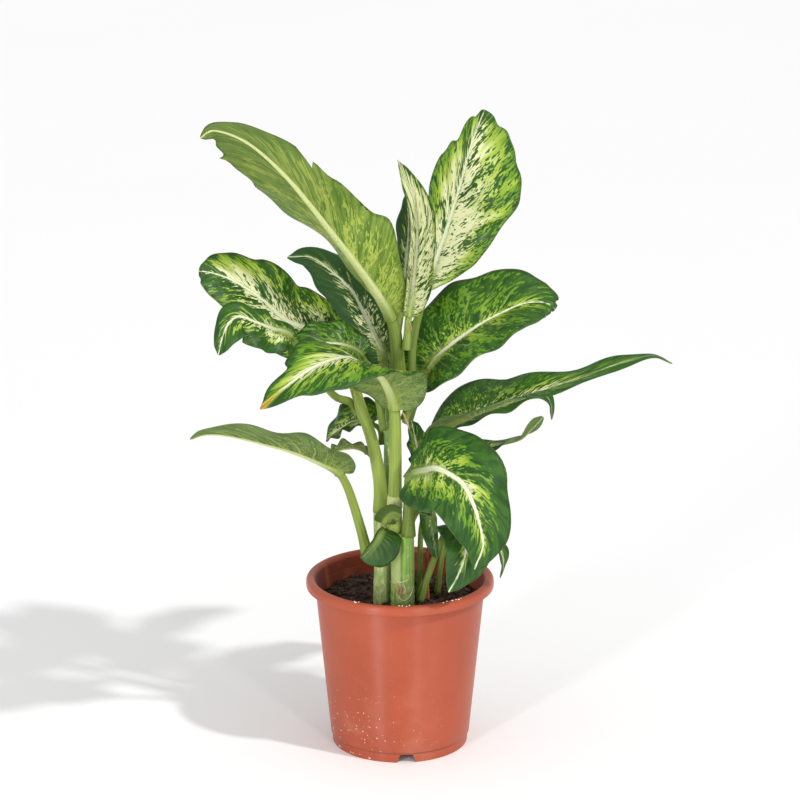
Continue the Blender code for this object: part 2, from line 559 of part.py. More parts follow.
def low_leaves():
    """Small leaves near the soil, on stalks of their own or at a cane's foot"""
    return [
        Leaf("leaf_lower_front",
             petiole=[(0.018, -0.018, 0.1385), (0.0245, -0.0145, 0.160), (0.033, -0.013, 0.184),
                      (0.042, -0.028, 0.211)],
             midrib=[(0.051, -0.050, 0.224), (0.058, -0.070, 0.220), (0.057, -0.082, 0.205),
                     (0.051, -0.088, 0.189), (0.0425, -0.0905, 0.1735)],
             faces=[(-0.2, -0.2, 0.9), (0.2, -0.8, 0.6), (0.2, -0.95, 0.2)],
             half=[(0.025, 0.015), (0.027, 0.023), (0.027, 0.024)],
             fold=[(15, 15)], bend=[(-20, -20)], lobe=0.006, taper=1.7, stalk=(0.0035, 0.0030)),
        Leaf("leaf_lower_inner",
             petiole=[(0.0175, -0.004, 0.137), (0.018, -0.001, 0.170), (0.019, -0.002, 0.203),
                      (0.0235, -0.008, 0.221)],
             midrib=[(0.027, -0.019, 0.223), (0.028, -0.032, 0.216), (0.030, -0.042, 0.204),
                     (0.033, -0.047, 0.189)],
             faces=[(-0.1, -0.3, 0.9), (-0.1, -0.8, 0.6), (-0.1, -0.95, 0.2)],
             half=[(0.0055, 0.010)],
             fold=[(15, 15)], bend=[(-20, -20)], lobe=0.0, taper=1.3, stalk=(0.0030, 0.0024)),
        Leaf("leaf_far_right_low",
             petiole=[(0.034, 0.008, 0.137), (0.038, 0.012, 0.170), (0.046, 0.010, 0.198),
                      (0.055, 0.002, 0.209)],
             midrib=[(0.069, -0.010, 0.215), (0.080, -0.020, 0.208), (0.088, -0.028, 0.194),
                     (0.092, -0.030, 0.181), (0.090, -0.030, 0.165)],
             faces=[(-0.2, 0.0, 1.0), (0.7, -0.3, 0.6), (1.0, -0.3, 0.1)], half=[(0.015, 0.016)],
             lobe=0.004, taper=1.8, stalk=(0.0030, 0.0022)),
        Leaf("leaf_base_front",
             petiole=[(-0.0145, -0.0245, 0.206), (-0.0145, -0.0305, 0.2115), (-0.0155, -0.0375, 0.2125)],
             midrib=[(-0.018, -0.0415, 0.210), (-0.022, -0.044, 0.204), (-0.028, -0.046, 0.197),
                     (-0.035, -0.047, 0.190)],
             faces=[(-0.2, -0.9, 0.2)], half=[(0.023, 0.006)], fold=[(5, 60)], bend=[(-20, 0)],
             lobe=(0.006, 0.004), centre=0.42, taper=0.9, base=0.7, stalk=(0.0020, 0.0018)),
        Leaf("leaf_base_upper",
             petiole=[(-0.0145, -0.0245, 0.2155), (-0.0145, -0.031, 0.2185), (-0.0135, -0.038, 0.2205)],
             midrib=[(-0.011, -0.041, 0.225), (-0.006, -0.0425, 0.229), (0.000, -0.043, 0.226)],
             faces=[(-0.1, 0.9, 0.2)], half=[(0.009, 0.012)], fold=[(5, 5)], bend=[(-20, -10)],
             wave=(0.0, 3.0, 0.0), lobe=0.003, centre=0.4, taper=0.9, base=0.6, stalk=(0.0016, 0.0014)),
    ]


def rear_leaves():
    """Leaves on the far side of the canes"""
    return [
        Leaf("leaf_rear_left",
             petiole=[(-0.006, 0.020, 0.262), (-0.007, 0.036, 0.290), (-0.017, 0.054, 0.312)],
             midrib=[(-0.031, 0.078, 0.326), (-0.049, 0.106, 0.334), (-0.067, 0.138, 0.328),
                     (-0.079, 0.172, 0.306)],
             faces=[(0.3, -0.3, 0.9), (-0.1, 0.1, 1.0), (-0.3, 0.7, 0.6)], half=[(0.034, 0.034)],
             lobe=0.008, stalk=(0.0040, 0.0030)),
        Leaf("leaf_rear_right",
             petiole=[(0.004, 0.014, 0.300), (0.013, 0.030, 0.326), (0.026, 0.050, 0.346)],
             midrib=[(0.048, 0.080, 0.362), (0.074, 0.110, 0.369), (0.098, 0.138, 0.362),
                     (0.115, 0.160, 0.346)],
             faces=[(-0.3, -0.3, 0.9), (0.1, 0.1, 1.0), (0.3, 0.6, 0.7)], half=[(0.032, 0.032)],
             stalk=(0.0040, 0.0030)),
        Leaf("leaf_rear_low",
             petiole=[(0.004, 0.014, 0.172), (0.010, 0.028, 0.198), (0.022, 0.048, 0.212)],
             midrib=[(0.036, 0.070, 0.218), (0.054, 0.098, 0.214), (0.070, 0.122, 0.200),
                     (0.080, 0.140, 0.176)],
             faces=[(-0.3, -0.3, 0.9), (0.1, 0.1, 1.0), (0.5, 0.7, 0.4)], half=[(0.030, 0.030)],
             stalk=(0.0035, 0.0030)),
    ]


def make_stems(parts):
    """The three canes, the dry sheath beside them and the root that lies on the soil"""
    tube("cane_left", parts, [(-0.017, -0.012, 0.137), (-0.016, -0.012, 0.176), (-0.017, -0.011, 0.218)],
         (0.0073, 0.0070), CANE_GREEN)
    tube("cane_front", parts, [(0.0022, -0.0260, 0.137), (0.0024, -0.0272, 0.170), (0.0022, -0.0305, 0.204)],
         (0.0106, 0.0104), CANE_GREEN)
    tube("cane_back", parts,
         [(-0.006, 0.004, 0.137), (-0.006, 0.004, 0.190), (-0.008, 0.004, 0.246), (-0.007, 0.001, 0.300),
          (-0.003, -0.006, 0.346)],
         (0.0066, 0.0066), CANE_GREEN, steps=3)
    tube("dry_sheath", parts, [(0.0245, -0.004, 0.137), (0.024, -0.0045, 0.160), (0.0245, -0.004, 0.184)],
         (0.0019, 0.0010), DRY_BROWN, steps=3)
    tube("root_white", parts,
         [(0.009, -0.0565, 0.1380), (0.013, -0.0540, 0.1382), (0.017, -0.0480, 0.1382),
          (0.021, -0.0450, 0.1380)],
         (0.0009, 0.0007), ROOT_WHITE, steps=3)


def main():
    clear_scene()
    parts = new_collection("potted_dieffenbachia")
    cutters = new_collection("cutters")
    make_pot(parts, cutters)
    make_soil(parts)
    make_stems(parts)
    for leaf in crown_leaves() + left_leaves() + right_leaves() + low_leaves() + rear_leaves():
        leaf.build(parts)


main()
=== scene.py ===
import math

import bmesh
import bpy
import numpy as np
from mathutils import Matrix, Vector


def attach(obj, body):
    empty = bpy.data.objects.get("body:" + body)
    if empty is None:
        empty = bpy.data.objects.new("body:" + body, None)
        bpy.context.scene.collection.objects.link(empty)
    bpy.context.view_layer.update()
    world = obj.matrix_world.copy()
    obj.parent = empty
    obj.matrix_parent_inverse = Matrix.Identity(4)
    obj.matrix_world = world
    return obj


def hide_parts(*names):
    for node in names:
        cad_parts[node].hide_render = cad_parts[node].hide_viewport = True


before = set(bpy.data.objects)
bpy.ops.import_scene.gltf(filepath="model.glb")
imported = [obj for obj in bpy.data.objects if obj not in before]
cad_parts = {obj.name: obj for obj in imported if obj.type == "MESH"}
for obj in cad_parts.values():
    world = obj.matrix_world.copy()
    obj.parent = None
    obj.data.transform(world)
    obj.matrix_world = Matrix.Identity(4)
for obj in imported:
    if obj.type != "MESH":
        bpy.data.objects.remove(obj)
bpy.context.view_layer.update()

# ---- Pot, as its solid has it
POT_HEIGHT = 0.157
RIM_RADIUS = 0.085
LIP_HEIGHT = 0.0087
LIP_WALL = 0.0018
LIP_BOTTOM = POT_HEIGHT - LIP_HEIGHT
BODY_TOP_RADIUS = 0.0769
BODY_FOOT_RADIUS = 0.0632
WALL = 0.0024
UPPER_WALL = 0.0014
LEDGE_HEIGHT = 0.1435
FOOT_HEIGHT = 0.009
FOOT_STEP = 0.0015
FOOT_RING = 0.0022
FLOOR_UNDER = 0.0025
FLOOR_TOP = 0.0045
GATE_PAD_RADIUS = 0.0134
BODY_SLOPE = (BODY_TOP_RADIUS - BODY_FOOT_RADIUS) / (LIP_BOTTOM - FOOT_HEIGHT)
POT_STEPS = 192
DRAIN_COUNT = 3
DRAIN_TURN = math.radians(-84.5)
DRAIN_REACH = (0.050, 0.068)
SHARP_EDGE = math.radians(35)
FLOOR_FILLET = 0.003

# ---- Soil: the plug's surface, its gap to the wall, its unevenness and the loose lumps on it
SOIL_TOP = 0.1362
SOIL_GAP = 0.0004
SOIL_STEPS = 96
SOIL_RINGS = 40
SOIL_ROUGH = 0.0008
SOIL_SETTLED = 0.0006
LUMP_COUNT = 1500
LUMP_SMALLEST = 0.0007
LUMP_SPREAD = 0.0022
LUMP_SUNK = 0.25

# ---- White crumbs on the rim: angle round the pot in degrees, size
PERLITE = (
    (-120.5, 0.0008), (-119.0, 0.0009), (-117.5, 0.0007), (-90.5, 0.0008), (-88.6, 0.0010), (-86.0, 0.0006),
    (-84.0, 0.0007), (-62.0, 0.0009), (-58.5, 0.0007), (-55.0, 0.0011), (-52.0, 0.0007), (-50.5, 0.0009),
    (-48.0, 0.0006),
)

# ---- Front cane: radius at its foot and top, groove between its two growths, rings, height of its node scar
FRONT_CANE = (0.0106, 0.0104)
GROOVE_ANGLE = math.radians(83)
GROOVE_RADIUS = 0.0105
GROOVE_DEPTH = 0.14
GROOVE_WIDTH = 0.15
GROOVE_FOOT = 0.28
GROOVE_RUN_IN = 0.12
# its rings: share along the cane, swell, width
FRONT_RINGS = ((0.16, 0.04, 0.03), (0.28, 0.03, 0.02))
SCAR_HEIGHT = 0.023

# ---- Leaf mesh
ROUTE_STEPS = 12
VEIN_START = 2.2
VEIN_SWEEP = 1.15
LOBE_TURN = 0.22
WAVE_GROWTH = 1.6
WAVE_SHIFT = 0.37
BLADE_SKIN = 0.00035
HALF_SECTION = 20
LEAF_SIDES = 4 * HALF_SECTION
BLADE_ROWS = 76
STALK_ROWS = 22
BLADE_START = 0.015
BLADE_END = 0.992
STALK_TAPER = 0.7
STALK_FLAT = 0.10
ROOT_SWELL = 0.10
ROOT_LENGTH = 0.012
CREST_LENGTH = 0.016
RIB_TAPER = 0.9
RIB_END = 0.0004
RIB_DEPTH = 1.1
RIB_WIDTH = 1.25
RIB_COLOUR_WIDTH = 0.85
CHANNEL_DEPTH = 0.25
CHANNEL_WIDTH = 0.8
CHANNEL_START = 0.02
TISSUE_START = 0.03
TISSUE_EDGE = 0.003
# the skin laid out flat: start of the upper side and of the underside, width of each, end of the petiole,
# first and last line of the blade
BAKE_UPPER = 0.01
BAKE_UNDER = 0.52
BAKE_WIDTH = 0.47
BAKE_STALK = 0.2
BAKE_BLADE = (0.22, 0.99)
QUILT_HEIGHT = 0.00035
QUILT_COUNT = 11
QUILTED_LENGTH = 0.12
# unevenness of the margin: depth, waves along the leaf, and how far the two sides are apart
EDGE_WAVES = ((0.012, 4.3, 0.2), (0.008, 9.1, 0.0))

LEAF_DEFAULTS = dict(
    faces=[(0, 0, 1)],
    half=[(0.045, 0.045)],
    fold=[(20, 20)],
    bend=[(-20, -20)],
    wave=(0.003, 3.0, 0.0),
    lobe=0.014,
    centre=0.38,
    taper=1.15,
    base=0.85,
    stalk=(0.005, 0.0032),
)

# ---- Leaf tissue
VEIN_COUNT = 11.0
LEAF_IOR = 1.42
LEAF_SHINE = 0.35
LIGHT_THROUGH = 0.22
# grains of the pattern: cells a metre across the side veins and along them, shift of the seed, detail,
# roughness
GRAINS = {
    "streak": (640.0, 250.0, 0.0, 2.0, 0.55),
    "bar": (230.0, 105.0, 5.2, 1.0, 0.5),
    "patch": (90.0, 44.0, 7.3, 2.0, 0.5),
    "fleck": (950.0, 420.0, 3.1, 1.0, 0.5),
    "dot": (560.0, 380.0, 9.4, 0.0, 0.5),
    "tone": (240.0, 60.0, 11.7, 3.0, 0.6),
}

# ---- Light and camera
FLOOR_HALF = 14.0
SKY_STRENGTH = 0.71
SUN_STRENGTH = 1.45
SUN_WIDTH = math.radians(3)
SUN_HEIGHT = math.radians(46)
SUN_AZIMUTH = math.radians(-33.5)
SUN_DISTANCE = 3.0
# softboxes in front of the pot: name, degrees to the right of the front, watts
SOFTBOXES = (("softbox_left", -30.0, 20.0), ("softbox_right", 24.0, 10.0))
SOFTBOX_WIDTH = 0.15
SOFTBOX_TALL = 1.0
SOFTBOX_HEIGHT = 0.55
SOFTBOX_DISTANCE = 2.2
SOFTBOX_TARGET = (0.0, 0.0, 0.15)
CAMERA_PLACE = (0.0, -2.8, 1.148)
CAMERA_DOWN = math.radians(16.42)
LENS = 147.33
SENSOR_WIDTH = 36.0
VIEW_END = 60.0


def paint(red, green, blue):
    """Linear colour from the everyday 0 to 255 values"""
    share = np.array([red, green, blue]) / 255.0
    linear = np.where(share <= 0.04045, share / 12.92, ((share + 0.055) / 1.055) ** 2.4)
    return (*[float(c) for c in linear], 1.0)


# ---------------------------------------------------------------- node trees

class Signal:
    """A node's output that can be used in plain arithmetic: each sign adds one Math node"""

    def __init__(self, tree, socket):
        self.tree = tree
        self.socket = socket

    def __add__(self, other):
        return self.tree.math("ADD", self, other)

    def __radd__(self, other):
        return self.tree.math("ADD", other, self)

    def __sub__(self, other):
        return self.tree.math("SUBTRACT", self, other)

    def __rsub__(self, other):
        return self.tree.math("SUBTRACT", other, self)

    def __mul__(self, other):
        return self.tree.math("MULTIPLY", self, other)

    def __truediv__(self, other):
        return self.tree.math("DIVIDE", self, other)

    def __pow__(self, other):
        return self.tree.math("POWER", self, other)

    def __abs__(self):
        return self.tree.math("ABSOLUTE", self)


class Tree:
    """Adds nodes to a tree: each call makes one node and links or sets its inputs"""

    def __init__(self, tree):
        self.tree = tree

    def link(self, value, socket):
        """Link a signal to a socket, or set the socket's own value"""
        if isinstance(value, Signal):
            self.tree.links.new(value.socket, socket)
        else:
            socket.default_value = value

    def add(self, kind, inputs=(), **settings):
        node = self.tree.nodes.new(kind)
        for key, value in settings.items():
            setattr(node, key, value)
        for key, value in dict(inputs).items():
            self.link(value, node.inputs[key])
        return node

    def out(self, node, key=0):
        """One of a node's outputs as a signal"""
        return Signal(self, node.outputs[key])

    def group(self, group, inputs=()):
        """Place a group with its own values; its outputs by name"""
        node = self.add("ShaderNodeGroup", inputs, node_tree=group)
        return {socket.name: Signal(self, socket) for socket in node.outputs}

    def math(self, operation, *values, clamp=False):
        return self.out(self.add("ShaderNodeMath", enumerate(values), operation=operation, use_clamp=clamp))

    def step(self, value, low, high, first=0.0, last=1.0):
        """Smooth step of a value between two limits"""
        limits = {"Value": value, "From Min": low, "From Max": high, "To Min": first, "To Max": last}
        return self.out(self.add("ShaderNodeMapRange", limits, interpolation_type="SMOOTHSTEP"), "Result")

    def drop(self, value, low, high, first=1.0):
        """Smooth fall to zero between two limits"""
        return self.step(value, low, high, first, 0.0)

    def mix(self, share, first, second):
        return self.out(self.add("ShaderNodeMix", {0: share, 6: first, 7: second}, data_type="RGBA"), 2)

    def coats(self, colour, *coats):
        """Lay colours over one another, each by its own share"""
        for share, over in coats:
            colour = self.mix(share, colour, over)
        return colour

    def vector(self, x, y, z=0.0):
        return self.out(self.add("ShaderNodeCombineXYZ", {0: x, 1: y, 2: z}))

    def parts(self, vector):
        """x, y and z of a vector"""
        split = self.add("ShaderNodeSeparateXYZ", {0: vector})
        return [self.out(split, k) for k in range(3)]

    def uv(self, name):
        """The two coordinates of a UV map"""
        return self.parts(self.out(self.add("ShaderNodeUVMap", uv_map=name)))[:2]

    def here(self):
        """Place on the object"""
        return self.out(self.add("ShaderNodeTexCoord"), "Object")

    def noise(self, place, scale=1.0, detail=2.0, rough=0.5):
        inputs = {"Vector": place, "Scale": scale, "Detail": detail, "Roughness": rough}
        return self.out(self.add("ShaderNodeTexNoise", inputs), "Fac")

    def swing(self, place, scale=1.0, detail=2.0, rough=0.5):
        """Noise about zero"""
        return self.noise(place, scale, detail, rough) - 0.5


def new_group(name, inputs, outputs):
    """Empty shader group with named sockets; returns the group, its tree and what it is given, by name"""
    group = bpy.data.node_groups.new(name, "ShaderNodeTree")
    kinds = {"value": "NodeSocketFloat", "colour": "NodeSocketColor"}
    for label, value in inputs.items():
        kind = "colour" if isinstance(value, tuple) else "value"
        socket = group.interface.new_socket(label, in_out="INPUT", socket_type=kinds[kind])
        socket.default_value = value
    for label, kind in outputs.items():
        group.interface.new_socket(label, in_out="OUTPUT", socket_type=kinds[kind])
    tree = Tree(group)
    start = tree.add("NodeGroupInput")
    return group, tree, {label: tree.out(start, label) for label in inputs}


def new_material(name):
    """Material, its tree and its shader"""
    material = bpy.data.materials.new(name)
    material.use_nodes = True
    return material, Tree(material.node_tree), material.node_tree.nodes["Principled BSDF"]


def finish_shader(tree, shader, colour, rough, height, strength, distance):
    """Give the shader its colour, its roughness and a bump from a height; returns the bumped normal"""
    tree.link(colour, shader.inputs["Base Color"])
    tree.link(rough, shader.inputs["Roughness"])
    bump = tree.add("ShaderNodeBump", {"Strength": strength, "Distance": distance, "Height": height})
    tree.link(tree.out(bump), shader.inputs["Normal"])
    return tree.out(bump)


# ---------------------------------------------------------------- materials

def stem_tissue_group():
    """Green stem skin: soft lengthwise streaks, pale flecks and a slow change along the stem"""
    group, tree, given = new_group(
        "stem_tissue",
        {"Fresh": paint(168, 188, 88), "Deep": paint(126, 156, 64), "Pale": paint(205, 212, 150),
         "Mottle": 0.3},
        {"Colour": "colour", "Height": "value"})
    along, across = tree.uv("span")
    lines = tree.noise(tree.vector(along * 14.0, across * 520.0))
    spots = tree.noise(tree.vector(along * 150.0, across * 330.0), 1.0, 4.0, 0.65)
    slow = tree.noise(tree.vector(along * 22.0, 0.0), 1.0, 1.0)
    level = 0.78 - given["Mottle"] * 0.42
    colour = tree.coats(
        given["Deep"],
        (tree.step(lines, 0.25, 0.75), given["Fresh"]),
        (tree.step(slow, 0.35, 0.7, 0.0, 0.45), given["Fresh"]),
        (tree.step(spots - level, -0.03, 0.05, 0.0, 0.85), given["Pale"]))
    tree.add("NodeGroupOutput", {"Colour": colour, "Height": lines * 0.5 + spots * 0.5})
    return group


def leaf_tissue_group(stem_group):
    """Blade and petiole: cream and lime patches along the side veins, with green flecks, on dark green"""
    group, tree, given = new_group(
        "leaf_tissue", {**look(0.0, 0.7, 0.0), "Length": 0.2, "Rib": 0.004},
        {"Colour": "colour", "Through": "colour", "Rough": "value", "Height": "value"})
    t, v = tree.uv("veins")
    x, y = tree.uv("span")
    upper, blade = tree.uv("side")
    seed = given["Seed"]
    edge = abs((v - 0.5) * 2.0)
    off = abs(y)

    warp = tree.swing(tree.vector(x, y, seed), 60.0)
    bent = x + warp * 0.010
    grain = {name: tree.swing(tree.vector(bent * across, y * along, seed + shift), 1.0, detail, rough)
             for name, (across, along, shift, detail, rough) in GRAINS.items()}
    streak = grain["streak"]
    patch = grain["patch"]
    tone = grain["tone"]
    fleck = grain["fleck"]

    # side veins: fine pale lines at even steps from base to tip
    turn = t * VEIN_COUNT + warp * 0.6 + seed * 0.37
    from_vein = abs(tree.math("FRACT", turn) - 0.5) * (given["Length"] / VEIN_COUNT)
    vein = tree.drop(from_vein, 0.0002, 0.0010) * tree.drop(edge, 0.30, 0.85)
    fine = abs(tree.math("FRACT", turn * 6.0) - 0.5)

    # where the pale patches lie
    level = given["Cream"] + streak * 1.5 + grain["dot"] * 1.1 + fleck * 1.3 + grain["bar"] * 0.9
    level = level + patch * (given["Patch"] * 2.6) + vein * 0.12 + tree.drop(edge, 0.0, 0.28, 0.14)
    level = level - tree.step(edge + patch * 0.7, given["Reach"], given["Reach"] + 0.25, 0.0, 0.9)
    level = level - tree.step(t, 0.84, 1.0, 0.0, 0.45)
    mask = tree.step(level, -0.03, 0.04)

    # midrib and veins, as far as they show
    shown = given["Rib Light"]
    width = given["Rib"] * tree.math("SUBTRACT", 1.0, t, clamp=True) ** 0.85 + 0.0004
    inside = (off + streak * 0.0026) / width
    veined = vein * shown

    # upper side: dark green ground, then cream, lime and mid green patches, veins, a painted shade line along
    # the midrib, the midrib and a pale margin
    ground = tree.coats(
        paint(37, 77, 28),
        (tree.step(tone, -0.12, 0.12), paint(68, 112, 36)),
        (given["Dark"], paint(41, 78, 33)))
    fade = given["Fade"]
    shift = edge - patch * 0.9 - tone
    light = tree.coats(
        paint(236, 237, 186),
        (tree.step(shift, fade - 0.25, fade + 0.15), paint(170, 195, 70)),
        (tree.step(shift, fade + 0.10, fade + 0.45), paint(102, 146, 38)))
    top = tree.coats(
        ground,
        (tree.step(level, -0.30, 0.10, 0.0, 0.5), paint(84, 128, 36)),
        (mask, light),
        (veined * 0.38, paint(168, 190, 96)),
        # painted shade: a darker line on each side of the midrib
        (tree.drop(inside, 1.2, 2.0, 0.45) * shown, paint(120, 156, 64)),
        (tree.drop(inside, 0.75, 1.15) * shown, paint(236, 238, 206)),
        (tree.step(edge, 0.965, 0.992, 0.0, 0.6), paint(120, 150, 84)))

    # underside: paler and greyer, the same pattern only faint, and brighter with painted backlight where the
    # sky stands behind it
    lit = tree.coats(
        paint(88, 120, 36),
        (tree.step(tone, -0.14, 0.14), paint(140, 166, 64)),
        (mask * 0.75, paint(192, 204, 92)),
        (tree.step(t, 0.45, 0.90, 0.0, 0.75), paint(86, 106, 50)))
    under = tree.coats(
        paint(86, 112, 56),
        (tree.step(tone, -0.14, 0.14), paint(112, 134, 72)),
        (mask * 0.5, paint(146, 164, 92)),
        (tree.step(given["Dark"], 0.6, 1.0), paint(72, 96, 38)),
        # painted light: the backlit glow of the underside
        (given["Backlit"], lit),
        (veined * 0.55, paint(186, 200, 112)),
        (tree.drop(off / width, 0.85, 1.35) * shown, paint(206, 214, 148)))

    dry = tree.mix(tree.step(fleck, -0.1, 0.1), paint(190, 106, 52), paint(222, 168, 110))
    colour = tree.coats(
        under,
        (upper, top),
        (tree.step(t, 0.90, 0.955) * given["Dry Tip"], paint(196, 190, 60)),
        (tree.step(t + patch * 0.04, 0.945, 0.975) * given["Dry Tip"], dry))
    stem = tree.group(stem_group, {
        "Fresh": tree.mix(given["Stem"], paint(92, 120, 46), paint(176, 192, 96)),
        "Deep": tree.mix(given["Stem"], paint(66, 94, 34), paint(134, 160, 66)),
        "Mottle": 0.10})["Colour"]
    through = tree.mix(mask, paint(92, 140, 28), paint(196, 206, 80))
    tree.add("NodeGroupOutput", {
        "Colour": tree.mix(blade, stem, colour),
        "Through": tree.mix(blade, stem, through),
        "Rough": 0.52 - upper * 0.12 + streak * 0.18,
        "Height": (fine * 0.5 - vein * 0.5 + fleck * 0.5) * blade})
    return group


def leaf_material(name, groups, length, rib, tissue_look):
    """Living leaf: satin skin over tissue that lets some light through"""
    material, tree, shader = new_material(name)
    tissue = tree.group(groups["leaf_tissue"], {**tissue_look, "Length": length, "Rib": rib})
    shader.inputs["IOR"].default_value = LEAF_IOR
    shader.inputs["Specular IOR Level"].default_value = LEAF_SHINE
    normal = finish_shader(tree, shader, tissue["Colour"], tissue["Rough"], tissue["Height"], 0.35, 0.0006)
    through = tree.add("ShaderNodeBsdfTranslucent", {"Color": tissue["Through"], "Normal": normal})
    both = tree.add("ShaderNodeMixShader", {0: LIGHT_THROUGH, 1: tree.out(shader), 2: tree.out(through)})
    tree.link(tree.out(both), material.node_tree.nodes["Material Output"].inputs["Surface"])
    return material


def cane_material(name, groups, fresh, deep, mottle, grooved=False):
    """Cane's skin: streaked tissue, worn pale and specked at the foot. A grooved cane is pale left of its
    groove, darker in it with painted shade and torn at its node scar"""
    material, tree, shader = new_material(name)
    tissue = tree.group(groups["stem_tissue"],
                        {"Fresh": fresh, "Deep": deep, "Pale": paint(196, 204, 146), "Mottle": mottle})
    x, y = tree.uv("span")
    colour = tissue["Colour"]
    if grooved:
        past_groove = y - GROOVE_RADIUS * (GROOVE_ANGLE - math.pi)
        above_scar = tree.step(x, 0.022, 0.030)
        scar = tree.drop(abs(x - SCAR_HEIGHT), 0.0035, 0.0050) * tree.drop(abs(past_groove), 0.0040, 0.0052)
        fibre = tree.noise(tree.vector(x * 160.0, y * 1500.0), 1.0, 3.0, 0.6)
        torn = tree.mix(tree.step(fibre, 0.4, 0.6), paint(120, 70, 48), paint(196, 150, 110))
        colour = tree.coats(
            colour,
            (tree.drop(past_groove, -0.0006, 0.0006, 0.7) * above_scar, paint(178, 194, 124)),
            # painted shade: a dark band down the groove
            (tree.drop(abs(past_groove), 0.0002, 0.0011, 0.6) * above_scar, paint(70, 96, 36)),
            (scar * 0.85, torn))
    foot = tree.drop(x, 0.012, 0.060)
    cloud = tree.noise(tree.vector(x * 150.0, y * 190.0), 1.0, 4.0, 0.65)
    colour = tree.coats(
        colour,
        (foot * tree.step(cloud, 0.42, 0.62, 0.0, 0.65), paint(188, 196, 140)),
        (foot * tree.step(cloud, 0.66, 0.74, 0.0, 0.6), paint(140, 104, 66)))
    finish_shader(tree, shader, colour, 0.5, tissue["Height"] + cloud, 0.3, 0.0005)
    return material


def dust_group():
    """Pale dust and specks that cling low on a wall, most on its left side"""
    group, tree, given = new_group("dust", {"Amount": 0.6, "Top": 0.12}, {"Dust": "value", "Specks": "value"})
    place = tree.here()
    x, _, height = tree.parts(place)
    where = tree.step(height, 0.0, given["Top"], 1.0, 0.12) * tree.step(x, -0.06, 0.05, 1.0, 0.35)
    cloud = tree.noise(place, 45.0, 4.0, 0.6)
    cells = tree.add("ShaderNodeTexVoronoi", {"Vector": place, "Scale": 330.0, "Randomness": 1.0})
    size = tree.step(tree.noise(place, 260.0, 1.0), 0.46, 0.68, 0.0, 0.35) * where
    tree.add("NodeGroupOutput", {
        "Dust": tree.step(cloud, 0.45, 0.75) * where * given["Amount"],
        "Specks": tree.step(size - tree.out(cells, "Distance"), 0.0, 0.03)})
    return group


def body_radius(z):
    """Outer radius of the pot's tapered wall at height z"""
    return (z - FOOT_HEIGHT) * BODY_SLOPE + BODY_FOOT_RADIUS


def pot_material(groups):
    """Satin moulded plastic in terracotta, with faint flow marks, dust, pale specks, a painted shade line
    above the foot band and painted shade on the inside
    """
    material, tree, shader = new_material("terracotta_plastic")
    place = tree.here()
    x, y, height = tree.parts(place)
    wide = tree.noise(place, 14.0, 3.0, 0.55)
    fine = tree.noise(place, 420.0, 3.0, 0.6)
    bands = tree.noise(tree.vector(0.0, 0.0, height), 240.0, 3.0)
    dust = tree.group(groups["dust"])

    # the inside, from the lip's inner edge down, is darkened with painted shade
    radius = tree.out(tree.add("ShaderNodeVectorMath", {0: tree.vector(x, y)}, operation="LENGTH"), "Value")
    within = tree.step(body_radius(height) - radius, 0.0004, 0.0010)
    within = within * tree.drop(height, POT_HEIGHT - 0.0042, POT_HEIGHT - 0.0012)
    within = within * tree.step(height, FOOT_HEIGHT + 0.001, FOOT_HEIGHT + 0.002)
    # painted shade: the inside wall darkened as if in shadow
    painted_inner_shade = tree.mix(tree.step(wide, 0.35, 0.65), paint(96, 38, 22), paint(128, 54, 32))

    colour = tree.coats(
        paint(158, 68, 40),
        (tree.step(wide, 0.3, 0.7), paint(166, 75, 46)),
        (tree.step(fine, 0.55, 0.8, 0.0, 0.16), paint(196, 108, 78)),
        (dust["Dust"] * 0.45, paint(196, 146, 124)),
        (dust["Specks"] * 0.8, paint(232, 205, 190)),
        # painted shade: a dark line in the step above the foot band
        (tree.drop(abs(height - FOOT_HEIGHT), 0.0003, 0.0014, 0.6), paint(120, 50, 30)),
        (within * 0.9, painted_inner_shade))
    rough = wide * 0.10 + 0.38 + dust["Dust"] * 0.4 + within * 0.3
    marks = fine * 0.35 + bands * 0.65 + dust["Specks"]
    finish_shader(tree, shader, colour, rough, marks, 0.12, 0.0004)
    around = tree.add("ShaderNodeTangent", direction_type="RADIAL", axis="Z")
    tree.link(tree.out(around), shader.inputs["Tangent"])
    shader.inputs["Anisotropic"].default_value = 0.9
    shader.inputs["Anisotropic Rotation"].default_value = 0.25
    return material


def soil_material():
    """Dark peat: crumbs from near black to warm brown, a few paler fibres"""
    material, tree, shader = new_material("peat")
    place = tree.here()
    crumbs = tree.noise(place, 260.0, 4.0, 0.6)
    clods = tree.noise(place, 70.0)
    colour = tree.coats(
        paint(34, 22, 17),
        (tree.step(crumbs, 0.32, 0.68), paint(92, 64, 48)),
        (tree.step(clods, 0.35, 0.65, 0.0, 0.5), paint(58, 38, 30)),
        (tree.step(crumbs, 0.70, 0.78, 0.0, 0.6), paint(150, 116, 88)))
    finish_shader(tree, shader, colour, 0.93, crumbs, 0.8, 0.0012)
    return material


def fibre_material(name, first, second, rough=0.8):
    """Dry plant fibre: two tones in lengthwise streaks"""
    material, tree, shader = new_material(name)
    x, y = tree.uv("span")
    lines = tree.noise(tree.vector(x * 120.0, y * 1400.0), 1.0, 3.0, 0.6)
    colour = tree.mix(tree.step(lines, 0.3, 0.7), first, second)
    finish_shader(tree, shader, colour, rough, lines, 0.5, 0.0004)
    return material


def perlite_material():
    """Chalky white crumbs"""
    material, tree, shader = new_material("perlite")
    tone = tree.noise(tree.here(), 900.0, 3.0, 0.6)
    colour = tree.mix(tree.step(tone, 0.3, 0.7), paint(236, 226, 214), paint(250, 246, 240))
    finish_shader(tree, shader, colour, 0.85, tone, 0.5, 0.0003)
    return material


